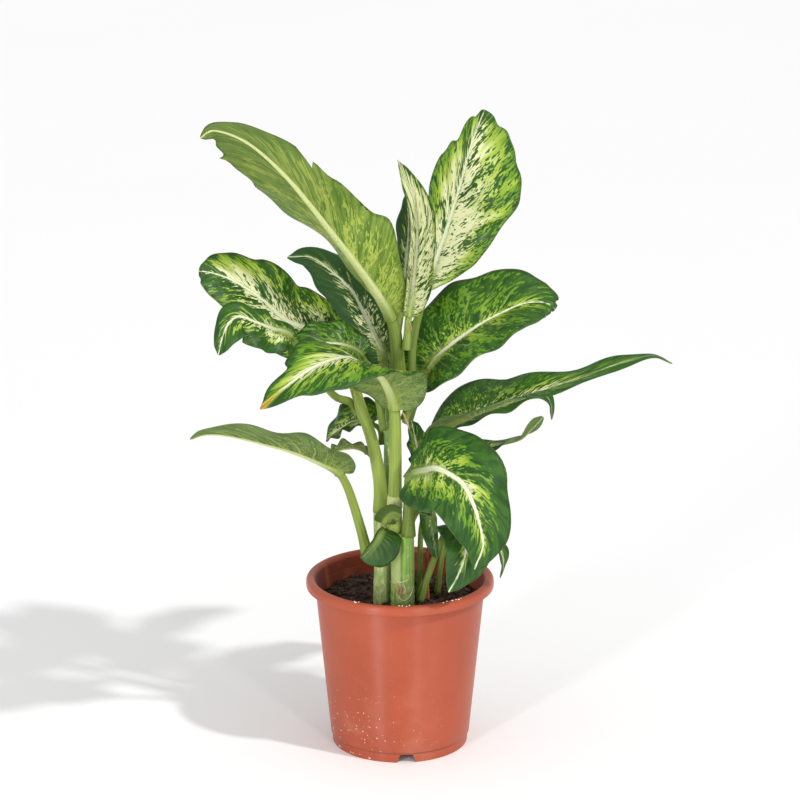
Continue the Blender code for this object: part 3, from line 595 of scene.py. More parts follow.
def floor_material():
    """Plain pale floor, hardly shining"""
    material, tree, shader = new_material("studio_floor")
    tone = tree.noise(tree.here(), 2.0)
    tree.link(tree.mix(tone, paint(246, 246, 246), paint(248, 248, 248)), shader.inputs["Base Color"])
    shader.inputs["Roughness"].default_value = 0.9
    shader.inputs["Specular IOR Level"].default_value = 0.1
    return material


# ---------------------------------------------------------------- meshes

def new_object(name, verts, faces, material, uvs=None, smooth=True):
    """Mesh object with one material; uvs maps a UV map's name to its coordinates per face corner"""
    mesh = bpy.data.meshes.new(name)
    mesh.from_pydata(np.asarray(verts).tolist(), [], faces)
    for label, values in (uvs or {}).items():
        layer = mesh.uv_layers.new(name=label)
        layer.data.foreach_set("uv", np.asarray(values, np.float32).ravel())
    mesh.materials.append(material)
    mesh.update()
    if smooth:
        mesh.shade_smooth()
    obj = bpy.data.objects.new(name, mesh)
    bpy.context.scene.collection.objects.link(obj)
    return obj


def stand_for(obj, node):
    """The piece rides on the body and stands for its solid, which is hidden"""
    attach(obj, "root")
    if node:
        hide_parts(node)


def unit(v):
    """Vectors brought to length 1"""
    v = np.asarray(v, float)
    return v / np.maximum(np.linalg.norm(v, axis=-1, keepdims=True), 1e-12)


def smooth_route(points, steps=ROUTE_STEPS):
    """Smooth curve through the given points"""
    p = np.array(points, float)
    extended = np.vstack([2 * p[0] - p[1], p, 2 * p[-1] - p[-2]])
    out = []
    for a, b, c, d in zip(extended, extended[1:], extended[2:], extended[3:]):
        for t in np.arange(steps) / steps:
            out.append(0.5 * (2 * b + (c - a) * t + (2 * a - 5 * b + 4 * c - d) * t ** 2
                              + (3 * b - a - 3 * c + d) * t ** 3))
    out.append(p[-1])
    return np.array(out)


def lengths_along(route):
    """Distance of each point of a route from its start"""
    return np.concatenate([[0.0], np.cumsum(np.linalg.norm(np.diff(route, axis=0), axis=1))])


def ring_skin(rows, sides):
    """Closed skin over rows of rings: quads, a fan at each end to the two points that follow the rings,
    and the row and column of every quad's corners"""
    row, col = np.meshgrid(np.arange(rows - 1), np.arange(sides), indexing="ij")
    row, col = row.ravel(), col.ravel()
    corner_rows = np.stack([row, row + 1, row + 1, row], 1)
    corner_cols = np.stack([col, col, col + 1, col + 1], 1)
    quads = corner_rows * sides + corner_cols % sides
    here = np.arange(sides)
    beside = (here + 1) % sides
    last = (rows - 1) * sides
    first_fan = np.stack([here, beside, np.full(sides, rows * sides)], 1)
    last_fan = np.stack([last + beside, last + here, np.full(sides, rows * sides + 1)], 1)
    return quads.tolist() + first_fan.tolist() + last_fan.tolist(), corner_rows, corner_cols


def joined(pieces):
    """Points and faces of several meshes as one"""
    verts, faces, count = [], [], 0
    for points, own_faces in pieces:
        faces += [[k + count for k in face] for face in own_faces]
        verts.append(points)
        count += len(points)
    return np.concatenate(verts), faces


# ---------------------------------------------------------------- leaves

def blend(stations, k):
    """Values given at even stations from the joint (k = 0) to the tip (k = 1), read at k"""
    table = np.array(stations, float)
    if len(table) == 1:
        return np.broadcast_to(table[0], np.shape(k) + (table.shape[1],))
    place = np.clip(np.asarray(k, float), 0, 1) * (len(table) - 1)
    low = np.minimum(place.astype(int), len(table) - 2)
    share = (place - low)[..., None]
    share = share * share * (3 - 2 * share)
    return table[low] * (1 - share) + table[low + 1] * share


def sided(stations, k, right):
    """Blended values of the left and right side, each point taking its own side's"""
    values = blend(stations, k)
    return np.where(right, values[..., 1], values[..., 0])


class Leaf:
    """One leaf: petiole, midrib and blade as one closed skin, with a rib and quilting between the veins.
    The values are those of the leaf's solid"""

    def __init__(self, name, petiole, midrib, **values):
        self.name = name
        for key, value in {**LEAF_DEFAULTS, **values}.items():
            setattr(self, key, value)
        self.lobes = self.lobe if isinstance(self.lobe, tuple) else (self.lobe, self.lobe)
        self.margin = MARGINS.get(name, [])
        self.route = smooth_route(list(petiole) + list(midrib))
        self.length = lengths_along(self.route)
        self.joint = self.length[ROUTE_STEPS * (len(petiole) - 1)]
        self.long = self.length[-1] - self.joint

    def on_route(self, s):
        """Point of the route at distance s from the root"""
        s = np.asarray(s, float)
        return np.stack([np.interp(s, self.length, self.route[:, i]) for i in range(3)], -1)

    def along(self, s):
        """Direction of the route at distance s from the root"""
        reach = 0.004
        low = np.clip(np.asarray(s) - reach, 0, self.length[-1])
        high = np.clip(np.asarray(s) + reach, 0, self.length[-1])
        return unit(self.on_route(high) - self.on_route(low))

    def frame(self, s):
        """Direction, right-hand side and upper normal at distance s past the joint"""
        s = np.asarray(s, float)
        run = self.along(self.joint + np.maximum(s, 0.0))
        face = blend(self.faces, np.clip(s / self.long, 0, 1))
        side = unit(np.cross(run, face))
        return run, side, np.cross(side, run)

    def outline(self, t, v):
        """Margin of the flat blade: distance along the midrib and share of the half width"""
        turn = math.pi * (np.asarray(t, float) - 0.5)
        middle = self.centre * self.long
        wide = np.cos(turn)
        wide = np.where(turn < 0, wide ** self.base, wide ** self.taper)
        lobe = np.where(v > 0, self.lobes[1], self.lobes[0])
        low = -(middle + lobe) * np.abs(np.sin(turn)) + lobe * np.exp(-(wide / LOBE_TURN) ** 2)
        high = (self.long - middle) * np.sin(turn)
        return middle + np.where(turn < 0, low, high), wide

    def on_blade(self, t, v):
        """Where a point of the flat blade lies: distance along the midrib past the joint and width share"""
        edge, wide = self.outline(t, v)
        start = self.long * t ** VEIN_START
        return start + (edge - start) * np.abs(v) ** VEIN_SWEEP, wide * np.abs(v)

    def trimmed(self, t, v):
        """v with the edge's nicks and slight unevenness worked in"""
        cut = 0.0
        for depth, waves, apart in EDGE_WAVES:
            cut = cut + depth * np.sin(math.tau * (waves * t + apart * np.sign(v)))
        for at, side, depth, width in self.margin:
            cut = cut + np.where(np.sign(v) == side, depth * np.exp(-((t - at) / width) ** 2), 0.0)
        return v * (1.0 - cut * np.abs(v) ** 4)

    def place(self, t, v, lift):
        """Point of the blade: t from base to tip along the veins, v from left (-1) to right (1)"""
        v = self.trimmed(t, v)
        right = v > 0
        s, r = self.on_blade(t, v)
        k = np.clip(s / self.long, 0, 1)
        half = sided(self.half, t, right)
        fold = np.radians(sided(self.fold, k, right))
        bend = np.radians(sided(self.bend, k, right))
        bend = np.where(np.abs(bend) < 0.001, 0.001, bend)
        lean = fold + bend * r
        out = half * (np.sin(lean) - np.sin(fold)) / bend
        rise = half * (np.cos(fold) - np.cos(lean)) / bend
        height, count, phase = self.wave
        turns = count * s / self.long + phase + WAVE_SHIFT * right
        ripple = height * r ** WAVE_GROWTH * np.sin(math.tau * turns)
        from_joint = np.clip(s, 0, self.long)
        run, side, up = self.frame(from_joint)
        side = side * np.where(right, 1.0, -1.0)[..., None]
        normal = up * np.cos(lean)[..., None] - side * np.sin(lean)[..., None]
        middle = self.on_route(self.joint + from_joint) + run * np.minimum(s, 0.0)[..., None]
        return (middle + side * out[..., None] + up * rise[..., None]
                + normal * (ripple + lift)[..., None])

    def from_rib(self, t, v):
        """Distance from the midrib across the blade, or on the lobes from the joint"""
        s, r = self.on_blade(t, v)
        return np.hypot(sided(self.half, t, v > 0) * r, np.minimum(s, 0.0))

    def blade_rings(self, t, v, upper):
        """Sections of the blade: rounded crest that sinks into the upper side, rib below, quilting on both"""
        off = self.from_rib(t, v)
        neck = self.stalk[1]
        start = self.long * t ** VEIN_START
        round_top = neck * np.sqrt(np.clip(1 - (off / neck) ** 2, 0, 1))
        crest = round_top * np.exp(-(start / CREST_LENGTH) ** 2)
        rib = neck * (1 - t) ** RIB_TAPER + RIB_END
        under = rib * RIB_DEPTH * np.sqrt(np.clip(1 - (off / (rib * RIB_WIDTH)) ** 2, 0, 1))
        channel = CHANNEL_DEPTH * rib * np.exp(-(off / (CHANNEL_WIDTH * rib)) ** 2)
        channel = channel * (1 - np.exp(-(start / CHANNEL_START) ** 2))
        quilt = QUILT_HEIGHT * min(1.0, (self.long / QUILTED_LENGTH) ** 2)
        quilt = quilt * np.sin(math.pi * np.abs(v)) ** 1.5 * np.cos(math.tau * (QUILT_COUNT * t + 0.1 * v))
        lift = np.where(upper > 0, BLADE_SKIN + crest - channel, -BLADE_SKIN - under)
        lift = np.where(upper == 0, 0.0, lift) + quilt
        return self.place(t, v, lift)

    def stalk_radius(self, share):
        """Radius of the petiole from its root (0) to the joint (1)"""
        return self.stalk[0] + (self.stalk[1] - self.stalk[0]) * share ** STALK_TAPER

    def stalk_rings(self):
        """Round sections of the petiole, a little flat on top, from its root to the joint"""
        side = self.frame(np.array([0.0]))[1][0]
        angles = np.arange(LEAF_SIDES) * math.tau / LEAF_SIDES
        above = np.clip(np.sin(angles), 0, 1) ** 2
        rings = []
        for share in np.linspace(1.0, 0.0, STALK_ROWS):
            run = self.along(self.joint * share)
            side = unit(side - run * (side @ run))
            up = np.cross(side, run)
            swell = 1.0 + ROOT_SWELL * math.exp(-(self.joint * share / ROOT_LENGTH) ** 2)
            flat = (1.0 - STALK_FLAT * share * above) * (1.0 - STALK_FLAT * above)
            radius = self.stalk_radius(share) * swell * flat
            around = side * np.cos(angles)[:, None] + up * np.sin(angles)[:, None]
            rings.append(self.on_route(self.joint * share) + around * radius[:, None])
        return np.array(rings[::-1])

    def build(self, groups):
        """Make the leaf's piece. Its rings run over the upper side from right to left and back below"""
        sweep = np.linspace(1, -1, 2 * HALF_SECTION + 1)
        section = sweep * (0.55 + 0.45 * np.abs(sweep))
        loop_v = np.concatenate([section, section[-2::-1]])
        upper = np.ones(LEAF_SIDES)
        upper[2 * HALF_SECTION:] = -1
        upper[[0, 2 * HALF_SECTION]] = 0
        t = np.linspace(BLADE_START, BLADE_END, BLADE_ROWS)
        grid_t, grid_v = np.meshgrid(t, loop_v[:-1], indexing="ij")
        blade = self.blade_rings(grid_t, grid_v, np.broadcast_to(upper, grid_t.shape))
        rings = np.concatenate([self.stalk_rings(), blade])
        ends = np.array([self.on_route(0.0), self.on_route(self.length[-1])])
        verts = np.concatenate([rings.reshape(-1, 3), ends])
        faces, corner_rows, corner_cols = ring_skin(len(rings), LEAF_SIDES)
        uvs = self.pattern_maps(t, loop_v, corner_rows, corner_cols)
        rib = self.stalk[1] * RIB_COLOUR_WIDTH
        material = leaf_material(self.name + "_tissue", groups, self.long, rib, LOOKS[self.name])
        stand_for(new_object(self.name + "_fine", verts, faces, material, uvs), self.name)

    def pattern_maps(self, t, loop_v, corner_rows, corner_cols):
        """UV maps. veins: place along and across the blade's veins. span: metres along and across.
        side: upper side or under, and blade or petiole. OFBake: the skin laid out flat, upper side left"""
        turns = 2 * HALF_SECTION
        columns = np.arange(LEAF_SIDES + 1)
        is_upper = (columns[:-1] < turns).astype(float)
        shares = np.linspace(0.0, 1.0, STALK_ROWS)
        wide_t, wide_v = np.meshgrid(t, loop_v, indexing="ij")
        off = self.from_rib(wide_t, wide_v)
        start = self.long * wide_t ** VEIN_START

        def by_row(values):
            """One value a row, at every column"""
            return np.repeat(np.asarray(values)[:, None], LEAF_SIDES + 1, 1)

        def by_column(values):
            """One value a column, at every row"""
            return np.broadcast_to(values, (STALK_ROWS + BLADE_ROWS, LEAF_SIDES + 1))

        def corners(grid, root_value, tip_value):
            """Value of a grid at every face corner, with the two end fans"""
            quad = grid[corner_rows, corner_cols].ravel()
            first = np.stack([grid[0, :-1], grid[0, 1:], np.full(LEAF_SIDES, root_value)], 1).ravel()
            final = np.stack([grid[-1, 1:], grid[-1, :-1], np.full(LEAF_SIDES, tip_value)], 1).ravel()
            return np.concatenate([quad, first, final])

        def per_face(values):
            """Value of each face's own column, repeated at its corners"""
            fan = np.repeat(values, 3)
            return np.concatenate([np.repeat(values[corner_cols[:, 0]], 4), fan, fan])

        around = self.stalk_radius(shares)[:, None] * (columns * math.tau / LEAF_SIDES - math.pi)
        span_x = np.concatenate([by_row(self.joint * (shares - 1.0)), wide_t * self.long])
        span_y = np.concatenate([around, off * np.sign(wide_v)])
        spread = np.maximum(start / TISSUE_START, (off - 1.05 * self.stalk[1]) / TISSUE_EDGE)
        tissue = np.concatenate([by_row(np.zeros(STALK_ROWS)), np.clip(spread, 0, 1)])
        bake_start = np.where(columns <= turns, BAKE_UPPER, BAKE_UNDER - BAKE_WIDTH)
        bake_x = bake_start + BAKE_WIDTH * columns / turns
        bake_y = np.concatenate([BAKE_STALK * shares, np.linspace(*BAKE_BLADE, BLADE_ROWS)])
        bake_u = corners(by_column(bake_x), 0.25, 0.25)
        seam = (per_face(is_upper) < 0.5) & (bake_u < 0.5)
        vein_t = np.concatenate([np.zeros(STALK_ROWS), t])
        return {
            "veins": np.stack([corners(by_row(vein_t), 0.0, 1.0),
                               corners(by_column(0.5 + 0.5 * loop_v), 0.5, 0.5)], 1),
            "span": np.stack([corners(span_x, -self.joint, self.long), corners(span_y, 0.0, 0.0)], 1),
            "side": np.stack([per_face(is_upper), corners(tissue, 0.0, 1.0)], 1),
            "OFBake": np.stack([np.where(seam, BAKE_UNDER, bake_u), corners(by_row(bake_y), 0.0, 1.0)], 1),
        }


# ---------------------------------------------------------------- how each leaf looks

def look(cream, reach, seed, fade=0.4, patch=0.6, dark=0.4, stem=0.7, rib_light=1.0, backlit=0.0,
         dry_tip=0.0):
    """Values of the leaf tissue. cream: how much of it; reach: how far out it goes; fade: where cream turns
    to lime and lime to green; patch: how much it clumps; dark: how dark the ground is; stem: how pale the
    petiole is; rib_light: how bright midrib and veins are; backlit: how much painted backlight brightens the
    underside; dry_tip: how brown the tip is"""
    return {"Cream": cream, "Reach": reach, "Seed": seed, "Fade": fade, "Patch": patch, "Dark": dark,
            "Stem": stem, "Rib Light": rib_light, "Backlit": backlit, "Dry Tip": dry_tip}


LOOKS = {
    "leaf_upper_left": look(-0.08, 0.76, 1.3, patch=0.7, stem=0.55, backlit=0.85),
    "leaf_upper_right": look(0.18, 0.9, 4.1, fade=0.56, stem=0.5),
    "leaf_rolled_new": look(0.12, 0.88, 2.2, fade=0.9, patch=0.3, stem=0.8),
    "leaf_back_centre": look(-0.25, 0.6, 3.7, dark=0.8),
    "leaf_left": look(-0.04, 0.96, 5.9, fade=0.5, patch=0.75, stem=0.95),
    "leaf_left_drooping": look(-0.1, 0.62, 6.4, fade=0.35),
    "leaf_back_left": look(-0.2, 0.4, 7.2, fade=0.45, patch=0.7, dark=0.7),
    "leaf_curled_inner": look(-0.12, 0.9, 8.8, fade=-0.1, patch=0.5, stem=0.4),
    "leaf_front_left": look(0.12, 0.8, 9.5, fade=0.36, stem=0.85, dry_tip=1.0),
    "leaf_left_low": look(-0.12, 0.7, 10.6, fade=0.2, stem=0.75),
    "leaf_back_left_low": look(-0.08, 0.7, 11.1, fade=0.2, stem=0.4),
    "leaf_back_inner_left": look(-0.08, 0.7, 12.9, fade=0.2, stem=0.4),
    "leaf_right_mid": look(-0.16, 0.88, 13.4, fade=-0.1, patch=0.7, dark=0.25),
    "leaf_right_long": look(-0.22, 0.7, 14.2, fade=0.15, patch=0.4, dark=0.0, rib_light=0.2),
    "leaf_right_curl": look(-0.2, 0.5, 15.5, fade=0.1, dark=0.2, rib_light=0.5),
    "leaf_right_tip": look(-0.16, 0.5, 16.3, fade=0.1, rib_light=0.5),
    "leaf_inner_right": look(-0.05, 0.8, 17.7, fade=0.2, dark=0.7),
    "leaf_lower_right": look(-0.1, 0.6, 18.6, fade=0.06, patch=0.8, dark=0.3, stem=0.35),
    "leaf_lower_front": look(-0.06, 0.32, 19.8, fade=0.12, patch=0.7, dark=0.3, stem=0.45),
    "leaf_lower_inner": look(-0.4, 0.5, 20.4, fade=0.2, dark=0.6, rib_light=0.15),
    "leaf_far_right_low": look(-0.2, 0.5, 21.9, fade=0.2),
    "leaf_base_front": look(-0.6, 0.2, 22.5, fade=0.3, patch=0.3, dark=0.5, rib_light=0.3),
    "leaf_base_upper": look(-0.6, 0.2, 23.1, fade=0.2, dark=1.0, rib_light=0.1),
    "leaf_rear_left": look(0.0, 0.62, 24.4),
    "leaf_rear_right": look(0.02, 0.62, 25.6),
    "leaf_rear_low": look(-0.04, 0.6, 26.8),
}

# nicks and spurs of the margins: place from base to tip, side, depth as a share of the half width, width
MARGINS = {
    "leaf_upper_left": [(0.77, 1, -0.10, 0.012), (0.68, 1, 0.07, 0.04), (0.88, 1, 0.08, 0.03),
                        (0.67, -1, 0.16, 0.012), (0.57, -1, -0.20, 0.035), (0.42, -1, -0.30, 0.07),
                        (0.80, -1, -0.05, 0.03)],
    "leaf_upper_right": [(0.49, 1, -0.12, 0.08), (0.885, 1, 0.07, 0.03), (0.76, -1, 0.14, 0.04),
                         (0.60, -1, -0.10, 0.04), (0.90, -1, 0.10, 0.03)],
    "leaf_right_mid": [(0.935, -1, 0.16, 0.012), (0.955, 1, 0.10, 0.012), (0.86, -1, 0.06, 0.03)],
    "leaf_left": [(0.96, -1, 0.10, 0.01), (0.70, 1, 0.05, 0.03)],
    "leaf_front_left": [(0.77, 1, 0.17, 0.03), (0.66, 1, -0.06, 0.03), (0.80, -1, 0.10, 0.06)],
}


# ---------------------------------------------------------------- the leaves, with the solids' own values

def crown_leaves():
    """Leaves at the top: the big backlit one, the upright one, the rolled new one and those behind"""
    return [
        Leaf("leaf_upper_left",
             petiole=[(-0.002, -0.010, 0.350), (-0.003, -0.013, 0.378), (-0.008, -0.018, 0.403)],
             midrib=[(-0.026, -0.035, 0.439), (-0.058, -0.065, 0.491), (-0.093, -0.095, 0.544),
                     (-0.125, -0.118, 0.580), (-0.153, -0.128, 0.594), (-0.166, -0.130, 0.588)],
             faces=[(0.25, 0.85, 0.25)],
             half=[(0.044, 0.036), (0.038, 0.049), (0.031, 0.049), (0.023, 0.043)],
             fold=[(25, 50), (30, 42), (25, 15), (15, 5)], bend=[(-10, 0), (-20, 0), (-20, -20)],
             wave=(0.004, 3.0, 0.1), lobe=0.0, centre=0.36, taper=1.35, base=1.0,
             stalk=(0.0073, 0.0050)),
        Leaf("leaf_upper_right",
             petiole=[(0.010, -0.004, 0.340), (0.012, -0.002, 0.380), (0.022, 0.012, 0.419)],
             midrib=[(0.031, 0.024, 0.444), (0.039, 0.033, 0.464), (0.048, 0.045, 0.491),
                     (0.055, 0.052, 0.513), (0.063, 0.058, 0.542), (0.075, 0.060, 0.574)],
             faces=[(0.35, -0.85, 0.30)],
             half=[(0.028, 0.022), (0.032, 0.042), (0.032, 0.057), (0.022, 0.050)],
             fold=[(25, 20)], bend=[(-10, -25)], lobe=0.0, centre=0.5, taper=1.05, base=1.2,
             stalk=(0.0040, 0.0035)),
        Leaf("leaf_rolled_new",
             petiole=[(0.0055, -0.0215, 0.375), (0.0065, -0.0195, 0.390), (0.0075, -0.0175, 0.404)],
             midrib=[(0.0115, -0.0155, 0.433), (0.015, -0.018, 0.474), (0.013, -0.016, 0.505),
                     (0.006, -0.014, 0.526), (-0.002, -0.012, 0.544)],
             faces=[(0.1, -0.9, 0.1)], half=[(0.019, 0.026)], fold=[(30, 30)], bend=[(70, 50)],
             wave=(0.001, 2.0, 0.0), lobe=0.0, centre=0.45, taper=2.1, stalk=(0.0035, 0.0030)),
        Leaf("leaf_back_centre",
             petiole=[(-0.004, 0.010, 0.345), (-0.003, 0.014, 0.372), (0.001, 0.022, 0.400)],
             midrib=[(0.006, 0.036, 0.442), (0.008, 0.046, 0.472), (0.007, 0.050, 0.500)],
             faces=[(-0.7, -0.6, 0.2)], half=[(0.016, 0.026)], lobe=0.004, stalk=(0.0035, 0.0030)),
    ]


def left_leaves():
    """Leaves that leave the canes to the left, from the top down"""
    return [
        Leaf("leaf_left",
             petiole=[(-0.017, -0.011, 0.222), (-0.018, -0.010, 0.251), (-0.025, -0.010, 0.289),
                      (-0.034, -0.008, 0.316), (-0.043, -0.002, 0.345), (-0.051, 0.000, 0.369)],
             midrib=[(-0.071, -0.012, 0.388), (-0.099, -0.027, 0.403), (-0.120, -0.038, 0.425),
                     (-0.141, -0.046, 0.442), (-0.160, -0.052, 0.452), (-0.174, -0.055, 0.455)],
             faces=[(0.3, -0.7, 0.6)], half=[(0.030, 0.030), (0.036, 0.036), (0.036, 0.034), (0.044, 0.024)],
             fold=[(10, 20)], bend=[(-20, -15)], lobe=0.006, centre=0.45, taper=0.8,
             stalk=(0.0068, 0.0045)),
        Leaf("leaf_left_drooping",
             petiole=[(-0.020, 0.010, 0.258), (-0.028, 0.010, 0.290), (-0.042, 0.004, 0.318),
                      (-0.058, -0.034, 0.337), (-0.077, -0.064, 0.373), (-0.095, -0.074, 0.402)],
             midrib=[(-0.110, -0.084, 0.411), (-0.124, -0.094, 0.420), (-0.139, -0.100, 0.426),
                     (-0.149, -0.106, 0.416), (-0.155, -0.110, 0.395)],
             faces=[(0.2, -0.6, 0.8), (0.0, -0.6, 0.8), (-0.5, -0.6, 0.4)], half=[(0.026, 0.016)],
             fold=[(10, 15)], bend=[(-40, -20)], lobe=0.006, taper=1.4, stalk=(0.0042, 0.0030)),
        Leaf("leaf_back_left",
             petiole=[(-0.016, 0.018, 0.300), (-0.016, 0.019, 0.330), (-0.015, 0.021, 0.354)],
             midrib=[(-0.024, 0.036, 0.374), (-0.035, 0.054, 0.393), (-0.045, 0.068, 0.407),
                     (-0.063, 0.085, 0.420), (-0.082, 0.095, 0.430), (-0.103, 0.100, 0.429)],
             faces=[(0.3, -0.6, 0.75)], half=[(0.036, 0.034), (0.034, 0.028), (0.028, 0.018)],
             fold=[(20, 20)], bend=[(-20, -10)], lobe=0.006, taper=1.4, stalk=(0.0045, 0.0040)),
        Leaf("leaf_curled_inner",
             petiole=[(-0.0145, -0.0165, 0.300), (-0.021, -0.019, 0.335), (-0.034, -0.022, 0.370)],
             midrib=[(-0.057, -0.033, 0.384), (-0.079, -0.045, 0.384), (-0.095, -0.052, 0.376)],
             faces=[(-0.1, -0.5, 0.8)], half=[(0.016, 0.024)], fold=[(10, 25)], bend=[(-30, -10)],
             lobe=0.004, stalk=(0.0034, 0.0028)),
        Leaf("leaf_front_left",
             petiole=[(-0.0050, -0.0275, 0.208), (-0.0045, -0.0295, 0.240), (-0.004, -0.032, 0.290),
                      (-0.005, -0.034, 0.326)],
             midrib=[(-0.010, -0.042, 0.346), (-0.020, -0.056, 0.365), (-0.033, -0.072, 0.378),
                     (-0.048, -0.088, 0.387), (-0.073, -0.112, 0.385), (-0.101, -0.132, 0.370),
                     (-0.119, -0.140, 0.356)],
             faces=[(0.3, 0.85, 0.3), (0.04, 0.82, 0.53), (0.16, 0.28, 0.83), (0.2, -0.15, 0.93),
                    (0.2, -0.45, 0.85), (0.2, -0.5, 0.8), (0.0, -0.5, 0.8)],
             half=[(0.046, 0.034), (0.044, 0.034), (0.038, 0.031), (0.036, 0.020)],
             fold=[(5, 15)], bend=[(-20, -20)], lobe=0.006, centre=0.36, taper=1.6,
             stalk=(0.0070, 0.0050)),
        Leaf("leaf_left_low",
             petiole=[(-0.0295, -0.016, 0.184), (-0.034, -0.020, 0.205), (-0.041, -0.027, 0.233),
                      (-0.047, -0.035, 0.254), (-0.054, -0.044, 0.269)],
             midrib=[(-0.066, -0.056, 0.280), (-0.090, -0.073, 0.296), (-0.115, -0.087, 0.308),
                     (-0.145, -0.098, 0.319), (-0.167, -0.102, 0.322), (-0.181, -0.104, 0.318)],
             faces=[(0.3, 0.2, 0.9)], half=[(0.028, 0.035)], fold=[(45, 10), (45, 10), (40, 10)],
             bend=[(-10, -20)], lobe=0.012, taper=1.4, stalk=(0.0052, 0.0038)),
        Leaf("leaf_back_left_low",
             petiole=[(-0.016, 0.017, 0.276), (-0.018, 0.023, 0.288), (-0.026, 0.030, 0.292)],
             midrib=[(-0.036, 0.036, 0.292), (-0.046, 0.042, 0.288), (-0.057, 0.048, 0.279),
                     (-0.067, 0.054, 0.269)],
             faces=[(0.1, -0.4, 0.9)], half=[(0.018, 0.030)], lobe=0.006, stalk=(0.0030, 0.0022)),
        Leaf("leaf_back_inner_left",
             petiole=[(-0.016, 0.014, 0.240), (-0.022, 0.020, 0.258), (-0.030, 0.027, 0.266)],
             midrib=[(-0.040, 0.033, 0.268), (-0.050, 0.040, 0.265), (-0.060, 0.048, 0.259)],
             faces=[(0.2, 0.5, 0.9), (-0.2, 0.5, 0.9)], half=[(0.016, 0.018)], lobe=0.004,
             stalk=(0.0028, 0.0022)),
    ]


def right_leaves():
    """Leaves that leave the canes to the right, from the top down"""
    return [
        Leaf("leaf_right_mid",
             petiole=[(0.006, 0.004, 0.300), (0.012, 0.004, 0.318), (0.019, 0.003, 0.336),
                      (0.027, 0.002, 0.352)],
             midrib=[(0.043, 0.004, 0.370), (0.071, 0.008, 0.390), (0.093, 0.012, 0.401),
                     (0.111, 0.014, 0.408), (0.129, 0.016, 0.408), (0.138, 0.016, 0.402)],
             faces=[(-0.3, -0.55, 0.75)], half=[(0.048, 0.050), (0.048, 0.044), (0.036, 0.050)],
             fold=[(25, 25)], bend=[(-15, -20)], lobe=0.022, centre=0.42, taper=1.1,
             stalk=(0.0045, 0.0040)),
        Leaf("leaf_right_long",
             petiole=[(0.010, -0.012, 0.250), (0.018, -0.013, 0.272), (0.029, -0.014, 0.289),
                      (0.042, -0.016, 0.303)],
             midrib=[(0.062, -0.020, 0.315), (0.090, -0.027, 0.328), (0.122, -0.032, 0.340),
                     (0.158, -0.034, 0.353), (0.195, -0.034, 0.367), (0.222, -0.030, 0.372),
                     (0.240, -0.026, 0.364)],
             faces=[(-0.3, -0.25, 0.95)],
             half=[(0.036, 0.040), (0.046, 0.034), (0.019, 0.015), (0.012, 0.011)],
             fold=[(15, 50), (15, 30), (10, 0), (5, 0)], bend=[(-10, -10)], lobe=0.022, centre=0.28,
             taper=1.7, stalk=(0.0045, 0.0040)),
        Leaf("leaf_right_curl",
             petiole=[(0.006, 0.012, 0.245), (0.022, 0.020, 0.268), (0.045, 0.030, 0.287)],
             midrib=[(0.081, 0.045, 0.300), (0.109, 0.055, 0.309), (0.126, 0.060, 0.312),
                     (0.136, 0.060, 0.304), (0.1385, 0.058, 0.287)],
             faces=[(-0.3, -0.2, 0.9), (0.0, -0.3, 1.0), (0.7, -0.3, 0.6)], half=[(0.016, 0.015)],
             lobe=0.006, taper=1.5, stalk=(0.0040, 0.0030)),
        Leaf("leaf_right_tip",
             petiole=[(0.007, 0.004, 0.215), (0.018, 0.012, 0.236), (0.036, 0.020, 0.252)],
             midrib=[(0.063, 0.028, 0.264), (0.090, 0.036, 0.270), (0.109, 0.040, 0.274),
                     (0.120, 0.042, 0.284), (0.130, 0.044, 0.294)],
             faces=[(-0.2, -0.4, 0.9), (-0.2, 0.0, 1.0), (-0.3, 0.8, 0.5)],
             half=[(0.014, 0.024), (0.010, 0.014), (0.016, 0.012), (0.018, 0.012)],
             lobe=0.006, taper=0.9, stalk=(0.0040, 0.0030)),
        Leaf("leaf_inner_right",
             petiole=[(0.014, -0.002, 0.232), (0.016, 0.000, 0.245), (0.017, 0.001, 0.258)],
             midrib=[(0.016, -0.002, 0.274), (0.013, -0.006, 0.291), (0.010, -0.008, 0.306)],
             faces=[(0.4, -0.8, 0.2)], half=[(0.010, 0.012)], fold=[(20, 20)], lobe=0.004,
             stalk=(0.0025, 0.0020)),
        Leaf("leaf_lower_right",
             petiole=[(0.0072, -0.0365, 0.208), (0.0074, -0.039, 0.235), (0.0074, -0.048, 0.257),
                      (0.0080, -0.056, 0.268), (0.0125, -0.060, 0.2735)],
             midrib=[(0.0215, -0.066, 0.2775), (0.031, -0.076, 0.283), (0.043, -0.086, 0.281),
                     (0.055, -0.094, 0.274), (0.062, -0.100, 0.262), (0.068, -0.104, 0.245),
                     (0.072, -0.104, 0.222), (0.065, -0.100, 0.198)],
             faces=[(0.0, -0.8, 0.6), (0.05, -0.9, 0.5), (0.3, -0.9, 0.3), (0.4, -0.9, 0.1)],
             half=[(0.034, 0.040), (0.046, 0.046), (0.036, 0.031), (0.028, 0.015)],
             fold=[(5, 5)], bend=[(-15, -20)], lobe=(0.004, 0.026), taper=1.3, stalk=(0.0064, 0.0042)),
    ]


